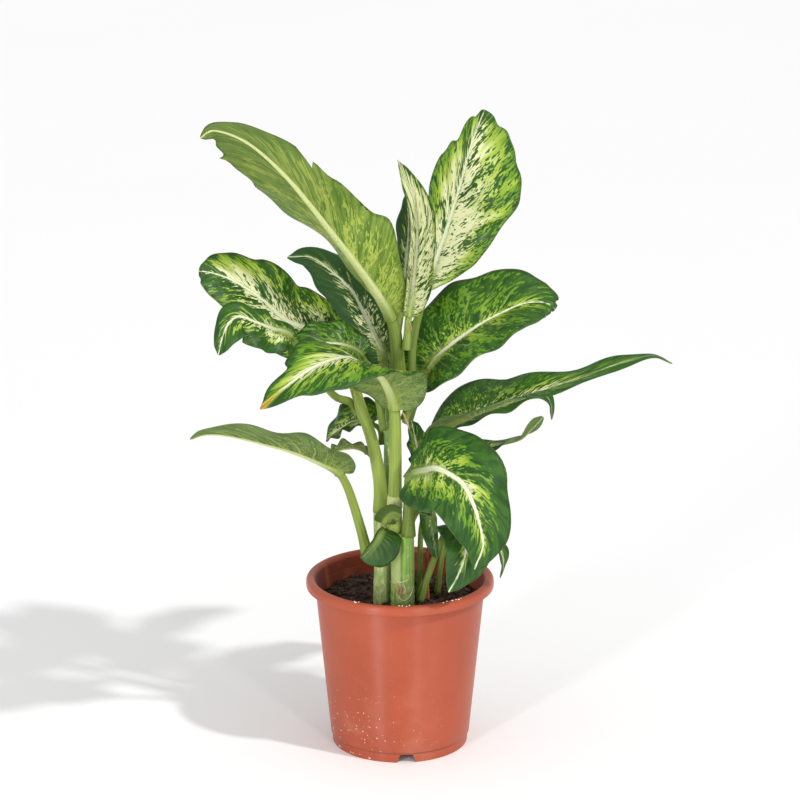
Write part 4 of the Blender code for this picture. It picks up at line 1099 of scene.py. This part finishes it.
def low_leaves():
    """Small leaves near the soil, on stalks of their own or at a cane's foot"""
    return [
        Leaf("leaf_lower_front",
             petiole=[(0.018, -0.018, 0.1385), (0.0245, -0.0145, 0.160), (0.033, -0.013, 0.184),
                      (0.042, -0.028, 0.211)],
             midrib=[(0.051, -0.050, 0.224), (0.058, -0.070, 0.220), (0.057, -0.082, 0.205),
                     (0.051, -0.088, 0.189), (0.0425, -0.0905, 0.1735)],
             faces=[(-0.2, -0.2, 0.9), (0.2, -0.8, 0.6), (0.2, -0.95, 0.2)],
             half=[(0.025, 0.015), (0.027, 0.023), (0.027, 0.024)],
             fold=[(15, 15)], bend=[(-20, -20)], lobe=0.006, taper=1.7, stalk=(0.0035, 0.0030)),
        Leaf("leaf_lower_inner",
             petiole=[(0.0175, -0.004, 0.137), (0.018, -0.001, 0.170), (0.019, -0.002, 0.203),
                      (0.0235, -0.008, 0.221)],
             midrib=[(0.027, -0.019, 0.223), (0.028, -0.032, 0.216), (0.030, -0.042, 0.204),
                     (0.033, -0.047, 0.189)],
             faces=[(-0.1, -0.3, 0.9), (-0.1, -0.8, 0.6), (-0.1, -0.95, 0.2)],
             half=[(0.0055, 0.010)],
             fold=[(15, 15)], bend=[(-20, -20)], lobe=0.0, taper=1.3, stalk=(0.0030, 0.0024)),
        Leaf("leaf_far_right_low",
             petiole=[(0.034, 0.008, 0.137), (0.038, 0.012, 0.170), (0.046, 0.010, 0.198),
                      (0.055, 0.002, 0.209)],
             midrib=[(0.069, -0.010, 0.215), (0.080, -0.020, 0.208), (0.088, -0.028, 0.194),
                     (0.092, -0.030, 0.181), (0.090, -0.030, 0.165)],
             faces=[(-0.2, 0.0, 1.0), (0.7, -0.3, 0.6), (1.0, -0.3, 0.1)], half=[(0.015, 0.016)],
             lobe=0.004, taper=1.8, stalk=(0.0030, 0.0022)),
        Leaf("leaf_base_front",
             petiole=[(-0.0145, -0.0245, 0.206), (-0.0145, -0.0305, 0.2115), (-0.0155, -0.0375, 0.2125)],
             midrib=[(-0.018, -0.0415, 0.210), (-0.022, -0.044, 0.204), (-0.028, -0.046, 0.197),
                     (-0.035, -0.047, 0.190)],
             faces=[(-0.2, -0.9, 0.2)], half=[(0.023, 0.006)], fold=[(5, 60)], bend=[(-20, 0)],
             lobe=(0.006, 0.004), centre=0.42, taper=0.9, base=0.7, stalk=(0.0020, 0.0018),
             wave=(0.0005, 2.0, 0.0)),
        Leaf("leaf_base_upper",
             petiole=[(-0.0145, -0.0245, 0.2155), (-0.0145, -0.031, 0.2185), (-0.0135, -0.038, 0.2205)],
             midrib=[(-0.011, -0.041, 0.225), (-0.006, -0.0425, 0.229), (0.000, -0.043, 0.226)],
             faces=[(-0.1, 0.9, 0.2)], half=[(0.009, 0.012)], fold=[(5, 5)], bend=[(-20, -10)],
             wave=(0.0, 3.0, 0.0), lobe=0.003, centre=0.4, taper=0.9, base=0.6, stalk=(0.0016, 0.0014)),
    ]


def rear_leaves():
    """Leaves on the far side of the canes"""
    return [
        Leaf("leaf_rear_left",
             petiole=[(-0.006, 0.020, 0.262), (-0.007, 0.036, 0.290), (-0.017, 0.054, 0.312)],
             midrib=[(-0.031, 0.078, 0.326), (-0.049, 0.106, 0.334), (-0.067, 0.138, 0.328),
                     (-0.079, 0.172, 0.306)],
             faces=[(0.3, -0.3, 0.9), (-0.1, 0.1, 1.0), (-0.3, 0.7, 0.6)], half=[(0.034, 0.034)],
             lobe=0.008, stalk=(0.0040, 0.0030)),
        Leaf("leaf_rear_right",
             petiole=[(0.004, 0.014, 0.300), (0.013, 0.030, 0.326), (0.026, 0.050, 0.346)],
             midrib=[(0.048, 0.080, 0.362), (0.074, 0.110, 0.369), (0.098, 0.138, 0.362),
                     (0.115, 0.160, 0.346)],
             faces=[(-0.3, -0.3, 0.9), (0.1, 0.1, 1.0), (0.3, 0.6, 0.7)], half=[(0.032, 0.032)],
             stalk=(0.0040, 0.0030)),
        Leaf("leaf_rear_low",
             petiole=[(0.004, 0.014, 0.172), (0.010, 0.028, 0.198), (0.022, 0.048, 0.212)],
             midrib=[(0.036, 0.070, 0.218), (0.054, 0.098, 0.214), (0.070, 0.122, 0.200),
                     (0.080, 0.140, 0.176)],
             faces=[(-0.3, -0.3, 0.9), (0.1, 0.1, 1.0), (0.5, 0.7, 0.4)], half=[(0.030, 0.030)],
             stalk=(0.0035, 0.0030)),
    ]


# ---------------------------------------------------------------- canes, sheaths and root

def stem(name, points, radius, material, sides=48, steps=16):
    """Round stem along a smooth route; radius is a function of (share along it, angle)"""
    route = smooth_route(points, steps)
    rows = len(route)
    runs = unit(np.gradient(route, axis=0))
    lengths = lengths_along(route)
    angles = np.arange(sides + 1) * math.tau / sides
    side = unit(np.cross(runs[0], (0.0, 1.0, 0.05)))
    rings, widths = [], []
    for k in range(rows):
        side = unit(side - runs[k] * (side @ runs[k]))
        up = np.cross(runs[k], side)
        r = np.array([radius(k / (rows - 1), a) for a in angles[:-1]])
        around = side * np.cos(angles[:-1])[:, None] + up * np.sin(angles[:-1])[:, None]
        rings.append(route[k] + around * r[:, None])
        widths.append(r.mean())
    verts = np.concatenate([np.concatenate(rings), route[[0, -1]]])
    faces, corner_rows, corner_cols = ring_skin(rows, sides)
    faces = [face[::-1] for face in faces]
    x = lengths[corner_rows][:, ::-1].ravel()
    y = (np.array(widths)[corner_rows] * (angles[corner_cols] - math.pi))[:, ::-1].ravel()
    fan_x = np.repeat([0.0, lengths[-1]], 3 * sides)
    span = np.stack([np.concatenate([x, fan_x]), np.concatenate([y, 0.0 * fan_x])], 1)
    return new_object(name, verts, faces, material, {"span": span})


def ringed(first, last, rings, swell=0.06):
    """Radius that runs from first to last and swells at the rings, given by their share along the stem"""
    def radius(share, angle):
        r = first + (last - first) * share
        for at in rings:
            r *= 1.0 + swell * math.exp(-((share - at - 0.01 * math.sin(2 * angle)) / 0.02) ** 2)
        return r * (1.0 + 0.012 * math.sin(3 * angle + 9 * share))
    return radius


def joined_stem(share, angle):
    """Radius of the front cane: ringed at its foot, with a groove between its two growths from a third up"""
    groove = GROOVE_DEPTH * math.exp(-((angle - GROOVE_ANGLE) / GROOVE_WIDTH) ** 2)
    groove *= min(1.0, max(0.0, (share - GROOVE_FOOT) / GROOVE_RUN_IN))
    rings = sum(swell * math.exp(-((share - at) / width) ** 2) for at, swell, width in FRONT_RINGS)
    foot, top = FRONT_CANE
    return (foot + (top - foot) * share) * (1.0 + rings - groove)


def make_canes(groups):
    """The three green canes, from just inside the soil up"""
    left = cane_material("cane_left_skin", groups, paint(168, 188, 108), paint(112, 146, 72), 0.55)
    front = cane_material("cane_front_skin", groups, paint(140, 178, 74), paint(98, 142, 58), 0.35, True)
    back = cane_material("cane_back_skin", groups, paint(140, 168, 84), paint(92, 128, 62), 0.4)
    obj = stem("cane_left_fine", [(-0.017, -0.012, 0.133), (-0.016, -0.012, 0.176), (-0.017, -0.011, 0.222)],
               ringed(0.0076, 0.0070, [0.25, 0.7]), left)
    stand_for(obj, "cane_left")
    obj = stem("cane_front_fine",
               [(0.0022, -0.0260, 0.133), (0.0024, -0.0272, 0.170), (0.0022, -0.0305, 0.209)],
               joined_stem, front, sides=96, steps=24)
    stand_for(obj, "cane_front")
    obj = stem("cane_back_fine",
               [(-0.006, 0.004, 0.133), (-0.006, 0.004, 0.190), (-0.008, 0.004, 0.246),
                (-0.007, 0.001, 0.300), (-0.003, -0.006, 0.350)],
               ringed(0.0068, 0.0066, [0.1, 0.3, 0.5, 0.72, 0.9]), back)
    stand_for(obj, "cane_back")


def make_trim():
    """The dry sheath beside the canes and the white root on the soil"""
    dry = fibre_material("dry_sheath_fibre", paint(140, 62, 40), paint(192, 110, 62))
    obj = stem("dry_sheath_fine", [(0.0245, -0.004, 0.135), (0.024, -0.0045, 0.160), (0.0245, -0.004, 0.184)],
               lambda share, angle: (0.0020 - 0.0010 * share) * (1 + 0.25 * math.cos(2 * angle)), dry, 20, 10)
    stand_for(obj, "dry_sheath")
    white = fibre_material("root_skin", paint(232, 226, 205), paint(196, 184, 150), 0.6)
    obj = stem("root_white_fine",
               [(0.009, -0.0565, 0.1380), (0.013, -0.0540, 0.1382), (0.017, -0.0480, 0.1382),
                (0.021, -0.0450, 0.1380)],
               lambda share, angle: 0.0009 - 0.0004 * share, white, 12, 10)
    stand_for(obj, "root_white")


def strand(name, material, width, points):
    """Thin strip of old sheath: round in section, tapering to both ends"""
    def radius(share, angle):
        return width * (0.35 + 0.65 * math.sin(math.pi * min(share, 1.0)) ** 0.5)
    stand_for(stem(name, points, radius, material, 10, 8), None)


def make_scraps():
    """Remains of old sheaths: pale edges round the front cane's node, a cuff above, dry scraps on stalks"""
    pale = fibre_material("old_sheath_edge", paint(196, 188, 134), paint(222, 216, 170))
    fresh = fibre_material("sheath_skin", paint(178, 190, 112), paint(200, 208, 142), 0.55)
    brown = fibre_material("old_sheath_scrap", paint(128, 96, 62), paint(188, 156, 112))
    strand("sheath_edge_high", pale, 0.0005,
           [(-0.0082, -0.0294, 0.1710), (-0.0047, -0.0348, 0.1675), (-0.0011, -0.0368, 0.1642),
            (0.0035, -0.0372, 0.1645), (0.0085, -0.0352, 0.1672), (0.0121, -0.0309, 0.1705)])
    strand("sheath_edge_low", pale, 0.0005,
           [(-0.0040, -0.0348, 0.1550), (-0.0020, -0.0362, 0.1505), (0.0018, -0.0372, 0.1468),
            (0.0060, -0.0366, 0.1470), (0.0095, -0.0346, 0.1510), (0.0122, -0.0309, 0.1585)])
    strand("node_fibre_1", brown, 0.0004,
           [(-0.0095, -0.0283, 0.1625), (-0.0060, -0.0338, 0.1600), (-0.0020, -0.0366, 0.1625)])
    strand("node_fibre_2", brown, 0.0006,
           [(-0.0022, -0.0368, 0.1620), (-0.0008, -0.0374, 0.1570), (-0.0014, -0.0372, 0.1515)])
    strand("node_fibre_3", brown, 0.0005,
           [(0.0010, -0.0374, 0.1615), (0.0016, -0.0378, 0.1560), (0.0006, -0.0376, 0.1500)])
    strand("node_fibre_4", pale, 0.0004,
           [(0.0036, -0.0372, 0.1610), (0.0050, -0.0370, 0.1560), (0.0040, -0.0374, 0.1520)])
    strand("cuff_torn_edge", brown, 0.0007,
           [(-0.0090, -0.0335, 0.2345), (-0.0062, -0.0362, 0.2325), (-0.0030, -0.0366, 0.2335)])
    strand("left_stalk_scrap", brown, 0.0011,
           [(-0.0468, -0.0395, 0.2610), (-0.0452, -0.0372, 0.2540), (-0.0418, -0.0330, 0.2440)])
    strand("bract", brown, 0.0010,
           [(0.0020, -0.0370, 0.3230), (0.0050, -0.0372, 0.3170), (0.0086, -0.0352, 0.3060)])
    strand("upper_scrap", brown, 0.0008,
           [(0.0085, -0.0240, 0.4010), (0.0098, -0.0238, 0.3960), (0.0092, -0.0236, 0.3915)])
    cuff = stem("sheath_cuff",
                [(-0.0048, -0.0290, 0.2325), (-0.0046, -0.0293, 0.2375), (-0.0045, -0.0296, 0.2435)],
                lambda share, angle: 0.0071 - 0.0006 * share + 0.0002 * math.sin(5 * angle), fresh, 32, 6)
    stand_for(cuff, None)


# ---------------------------------------------------------------- pot and soil

def arc(centre, radius, first, last, steps):
    """Points of an arc in the profile plane, angles in degrees"""
    angles = np.radians(np.linspace(first, last, steps + 1))
    return [(centre[0] + radius * math.cos(a), centre[1] + radius * math.sin(a)) for a in angles]


def pot_profile():
    """Section of the pot: floor top, inner wall, rolled lip, outer wall, foot band and underside"""
    floor_edge = body_radius(FLOOR_TOP) - WALL - FLOOR_FILLET
    roll = LIP_HEIGHT * 0.42
    roll_centre = (RIM_RADIUS - roll, POT_HEIGHT - roll)
    ledge = body_radius(LEDGE_HEIGHT)
    foot = body_radius(FOOT_HEIGHT)
    band = foot - FOOT_STEP
    return [
        (0.0, FLOOR_TOP), (floor_edge, FLOOR_TOP),
        *arc((floor_edge, FLOOR_TOP + FLOOR_FILLET), FLOOR_FILLET, -90, 0, 4)[1:],
        (ledge - WALL, LEDGE_HEIGHT - 0.0004), (ledge - WALL + 0.0003, LEDGE_HEIGHT),
        (ledge - UPPER_WALL - 0.0002, LEDGE_HEIGHT + 0.0006), (ledge - UPPER_WALL, LEDGE_HEIGHT + 0.0011),
        (body_radius(LIP_BOTTOM) - UPPER_WALL, LIP_BOTTOM + 0.002),
        (RIM_RADIUS - 0.0082, POT_HEIGHT - 0.0032), (RIM_RADIUS - 0.0077, POT_HEIGHT - 0.0015),
        (RIM_RADIUS - 0.0068, POT_HEIGHT - 0.0005), (RIM_RADIUS - 0.0055, POT_HEIGHT),
        *arc(roll_centre, roll, 90, 0, 9),
        (RIM_RADIUS, LIP_BOTTOM + 0.0010), (RIM_RADIUS - 0.0003, LIP_BOTTOM + 0.0003),
        (RIM_RADIUS - 0.0009, LIP_BOTTOM), (RIM_RADIUS - LIP_WALL, LIP_BOTTOM + 0.0006),
        *arc(roll_centre, roll - LIP_WALL, 0, 90, 4),
        (RIM_RADIUS - 0.0066, POT_HEIGHT - LIP_WALL - 0.0004), (BODY_TOP_RADIUS + 0.0003, LIP_BOTTOM + 0.003),
        (body_radius(LIP_BOTTOM), LIP_BOTTOM),
        *[(body_radius(z), z) for z in np.linspace(LIP_BOTTOM - 0.012, FOOT_HEIGHT + 0.0006, 9)],
        (foot - 0.0003, FOOT_HEIGHT), (band + 0.0002, FOOT_HEIGHT - 0.0005),
        (band, FOOT_HEIGHT - 0.0012), (band, 0.0008), (band - 0.0003, 0.0002), (band - 0.0007, 0.0),
        (band - FOOT_RING, 0.0), (band - FOOT_RING, FLOOR_UNDER),
        (GATE_PAD_RADIUS + 0.0006, FLOOR_UNDER), (GATE_PAD_RADIUS, 0.0), (0.0, 0.0),
    ]


def turned_mesh(profile, steps):
    """Points and faces of a body of revolution about Z from a profile that starts and ends on the axis"""
    angles = np.arange(steps) * math.tau / steps
    r, z = np.array(profile[1:-1]).T
    rings = np.stack([np.outer(r, np.cos(angles)), np.outer(r, np.sin(angles)),
                      np.repeat(z[:, None], steps, 1)], -1)
    verts = np.concatenate([rings.reshape(-1, 3), [(0, 0, profile[0][1]), (0, 0, profile[-1][1])]])
    return verts, ring_skin(len(r), steps)[0]


def drain_cutter(index):
    """Opening in the foot band: straight sides with a rounded top"""
    half_section = [(0.0085, -0.002), (0.0080, 0.0020), (0.0068, 0.0052), (0.0060, 0.0070), (0.0052, 0.0075)]
    section = half_section + [(-y, z) for y, z in half_section[::-1]]
    n = len(section)
    verts = [(x, y, z) for x in DRAIN_REACH for y, z in section]
    faces = [list(range(n))[::-1], list(range(n, 2 * n))]
    faces += [[k, (k + 1) % n, n + (k + 1) % n, n + k] for k in range(n)]
    mesh = bpy.data.meshes.new("drain_cutter")
    mesh.from_pydata(verts, [], faces)
    cutter = bpy.data.objects.new("drain_cutter_%d" % index, mesh)
    cutter.rotation_euler = (0.0, 0.0, DRAIN_TURN + index * math.tau / DRAIN_COUNT)
    bpy.context.scene.collection.objects.link(cutter)
    return cutter


def apply_modifiers(obj):
    """Keep the evaluated mesh and drop the modifiers"""
    bpy.context.view_layer.update()
    graph = bpy.context.evaluated_depsgraph_get()
    mesh = bpy.data.meshes.new_from_object(obj.evaluated_get(graph), depsgraph=graph)
    obj.modifiers.clear()
    obj.data = mesh


def make_pot(groups):
    """The turned pot with its drain openings cut out"""
    verts, faces = turned_mesh(pot_profile(), POT_STEPS)
    pot = new_object("pot_fine", verts, faces, pot_material(groups))
    cutters = [drain_cutter(index) for index in range(DRAIN_COUNT)]
    for cutter in cutters:
        cut = pot.modifiers.new("drain", "BOOLEAN")
        cut.operation = "DIFFERENCE"
        cut.solver = "EXACT"
        cut.object = cutter
    apply_modifiers(pot)
    for cutter in cutters:
        bpy.data.objects.remove(cutter)
    pot.data.set_sharp_from_angle(angle=SHARP_EDGE)
    stand_for(pot, "pot")


def crumb_ball():
    """Points and triangles of an icosphere of radius 1"""
    mesh = bpy.data.meshes.new("crumb")
    ball = bmesh.new()
    bmesh.ops.create_icosphere(ball, subdivisions=2, radius=1.0)
    ball.to_mesh(mesh)
    ball.free()
    points = np.array([v.co for v in mesh.vertices])
    faces = [list(p.vertices) for p in mesh.polygons]
    bpy.data.meshes.remove(mesh)
    return points, faces


def lump(ball, rng, centre, size, flat=0.75):
    """Irregular crumb: a ball of 42 points pushed in and out"""
    points, faces = ball
    push = 1.0 + 0.35 * (rng.random(len(points))[:, None] - 0.5)
    stretch = size * (0.75 + 0.5 * rng.random(3)) * np.array([1.0, 1.0, flat])
    turn = rng.random() * math.tau
    c, s = math.cos(turn), math.sin(turn)
    x, y, z = (points * push * stretch).T
    return np.stack([x * c - y * s, x * s + y * c, z], 1) + centre, faces


def soil_height(x, y):
    """Gentle heaps of the soil's surface"""
    return (0.0012 * np.sin(95 * x + 1.3) * np.cos(80 * y + 0.4)
            + 0.0006 * np.sin(260 * x) * np.sin(230 * y + 2.0))


def make_soil(ball):
    """Plug of soil under a crumbled surface of loose lumps"""
    rng = np.random.default_rng(11)
    rim = body_radius(SOIL_TOP) - WALL - SOIL_GAP
    low = FLOOR_TOP + 0.0003
    foot = body_radius(low) - WALL - 0.004
    profile = [(rim * k / SOIL_RINGS, SOIL_TOP) for k in range(SOIL_RINGS + 1)]
    profile += [(rim - SOIL_GAP, SOIL_TOP - 0.004), (foot, low), (0.0, low)]
    verts, faces = turned_mesh(profile, SOIL_STEPS)
    top = verts[:, 2] > SOIL_TOP - 0.001
    rough = SOIL_ROUGH * (rng.random(len(verts)) - 0.5)
    verts[top, 2] += (soil_height(verts[:, 0], verts[:, 1]) + rough)[top] - SOIL_SETTLED
    pieces = [(verts, faces)]
    for _ in range(LUMP_COUNT):
        r = (rim - 0.0025) * math.sqrt(rng.random())
        a = rng.random() * math.tau
        x, y = r * math.cos(a), r * math.sin(a)
        size = min(LUMP_SMALLEST + LUMP_SPREAD * rng.random() ** 2.2, rim - r - SOIL_GAP)
        z = SOIL_TOP + soil_height(x, y) + LUMP_SUNK * size
        pieces.append(lump(ball, rng, np.array([x, y, z]), size))
    stand_for(new_object("soil_fine", *joined(pieces), soil_material()), "soil")


def make_perlite(ball):
    """White crumbs lying on the rim's front edge, each at its own angle"""
    rng = np.random.default_rng(5)
    pieces = []
    for degrees, size in PERLITE:
        a = math.radians(degrees)
        r = RIM_RADIUS - 0.0030 - 0.003 * rng.random()
        place = np.array([r * math.cos(a), r * math.sin(a), POT_HEIGHT])
        pieces.append(lump(ball, rng, place, size, 0.5))
    stand_for(new_object("perlite_flecks", *joined(pieces), perlite_material()), None)


# ---------------------------------------------------------------- floor, light and camera

def make_sky():
    """Even white sky for light and reflections, plain white behind everything"""
    world = bpy.data.worlds.new("soft_sky")
    bpy.context.scene.world = world
    world.use_nodes = True
    tree = Tree(world.node_tree)
    nodes = world.node_tree.nodes
    white = (1.0, 1.0, 1.0, 1.0)
    sky = nodes["Background"]
    sky.inputs["Color"].default_value = white
    sky.inputs["Strength"].default_value = SKY_STRENGTH
    backdrop = tree.add("ShaderNodeBackground", {"Color": white})
    seen = tree.out(tree.add("ShaderNodeLightPath"), "Is Camera Ray")
    both = tree.add("ShaderNodeMixShader", {0: seen, 1: tree.out(sky), 2: tree.out(backdrop)})
    tree.link(tree.out(both), nodes["World Output"].inputs["Surface"])


def aim(obj, place, target):
    """Put an object at a place with its -Z towards the target"""
    bpy.context.scene.collection.objects.link(obj)
    obj.location = place
    obj.rotation_euler = (Vector(target) - Vector(place)).to_track_quat("-Z", "Y").to_euler()


def make_stage():
    """Pale floor, even sky, a soft sun from the right and two tall softboxes in front"""
    corners = [(-FLOOR_HALF, -FLOOR_HALF, 0), (FLOOR_HALF, -FLOOR_HALF, 0),
               (FLOOR_HALF, FLOOR_HALF, 0), (-FLOOR_HALF, FLOOR_HALF, 0)]
    new_object("studio_floor", corners, [(0, 1, 2, 3)], floor_material(), smooth=False)
    make_sky()

    sun = bpy.data.lights.new("soft_sun", "SUN")
    sun.energy = SUN_STRENGTH
    sun.angle = SUN_WIDTH
    flat = SUN_DISTANCE * math.cos(SUN_HEIGHT)
    place = (flat * math.cos(SUN_AZIMUTH), flat * math.sin(SUN_AZIMUTH), SUN_DISTANCE * math.sin(SUN_HEIGHT))
    aim(bpy.data.objects.new("soft_sun", sun), place, (0.0, 0.0, 0.0))

    for name, degrees, power in SOFTBOXES:
        box = bpy.data.lights.new(name, "AREA")
        box.shape = "RECTANGLE"
        box.size = SOFTBOX_WIDTH
        box.size_y = SOFTBOX_TALL
        box.energy = power
        a = math.radians(degrees)
        place = (SOFTBOX_DISTANCE * math.sin(a), -SOFTBOX_DISTANCE * math.cos(a), SOFTBOX_HEIGHT)
        aim(bpy.data.objects.new(name, box), place, SOFTBOX_TARGET)


def make_camera():
    """Long lens in front of the pot, looking a little down"""
    data = bpy.data.cameras.new("camera")
    data.lens = LENS
    data.sensor_width = SENSOR_WIDTH
    data.clip_end = VIEW_END
    camera = bpy.data.objects.new("camera", data)
    camera.location = CAMERA_PLACE
    camera.rotation_euler = (math.pi / 2 - CAMERA_DOWN, 0.0, 0.0)
    bpy.context.scene.collection.objects.link(camera)
    bpy.context.scene.camera = camera
    bpy.context.scene.view_settings.view_transform = "Standard"


STEM_TISSUE = stem_tissue_group()
GROUPS = {"stem_tissue": STEM_TISSUE, "leaf_tissue": leaf_tissue_group(STEM_TISSUE), "dust": dust_group()}
CRUMB = crumb_ball()
make_camera()
make_stage()
make_pot(GROUPS)
make_soil(CRUMB)
make_perlite(CRUMB)
make_canes(GROUPS)
make_trim()
make_scraps()
for leaf in crown_leaves() + left_leaves() + right_leaves() + low_leaves() + rear_leaves():
    leaf.build(GROUPS)
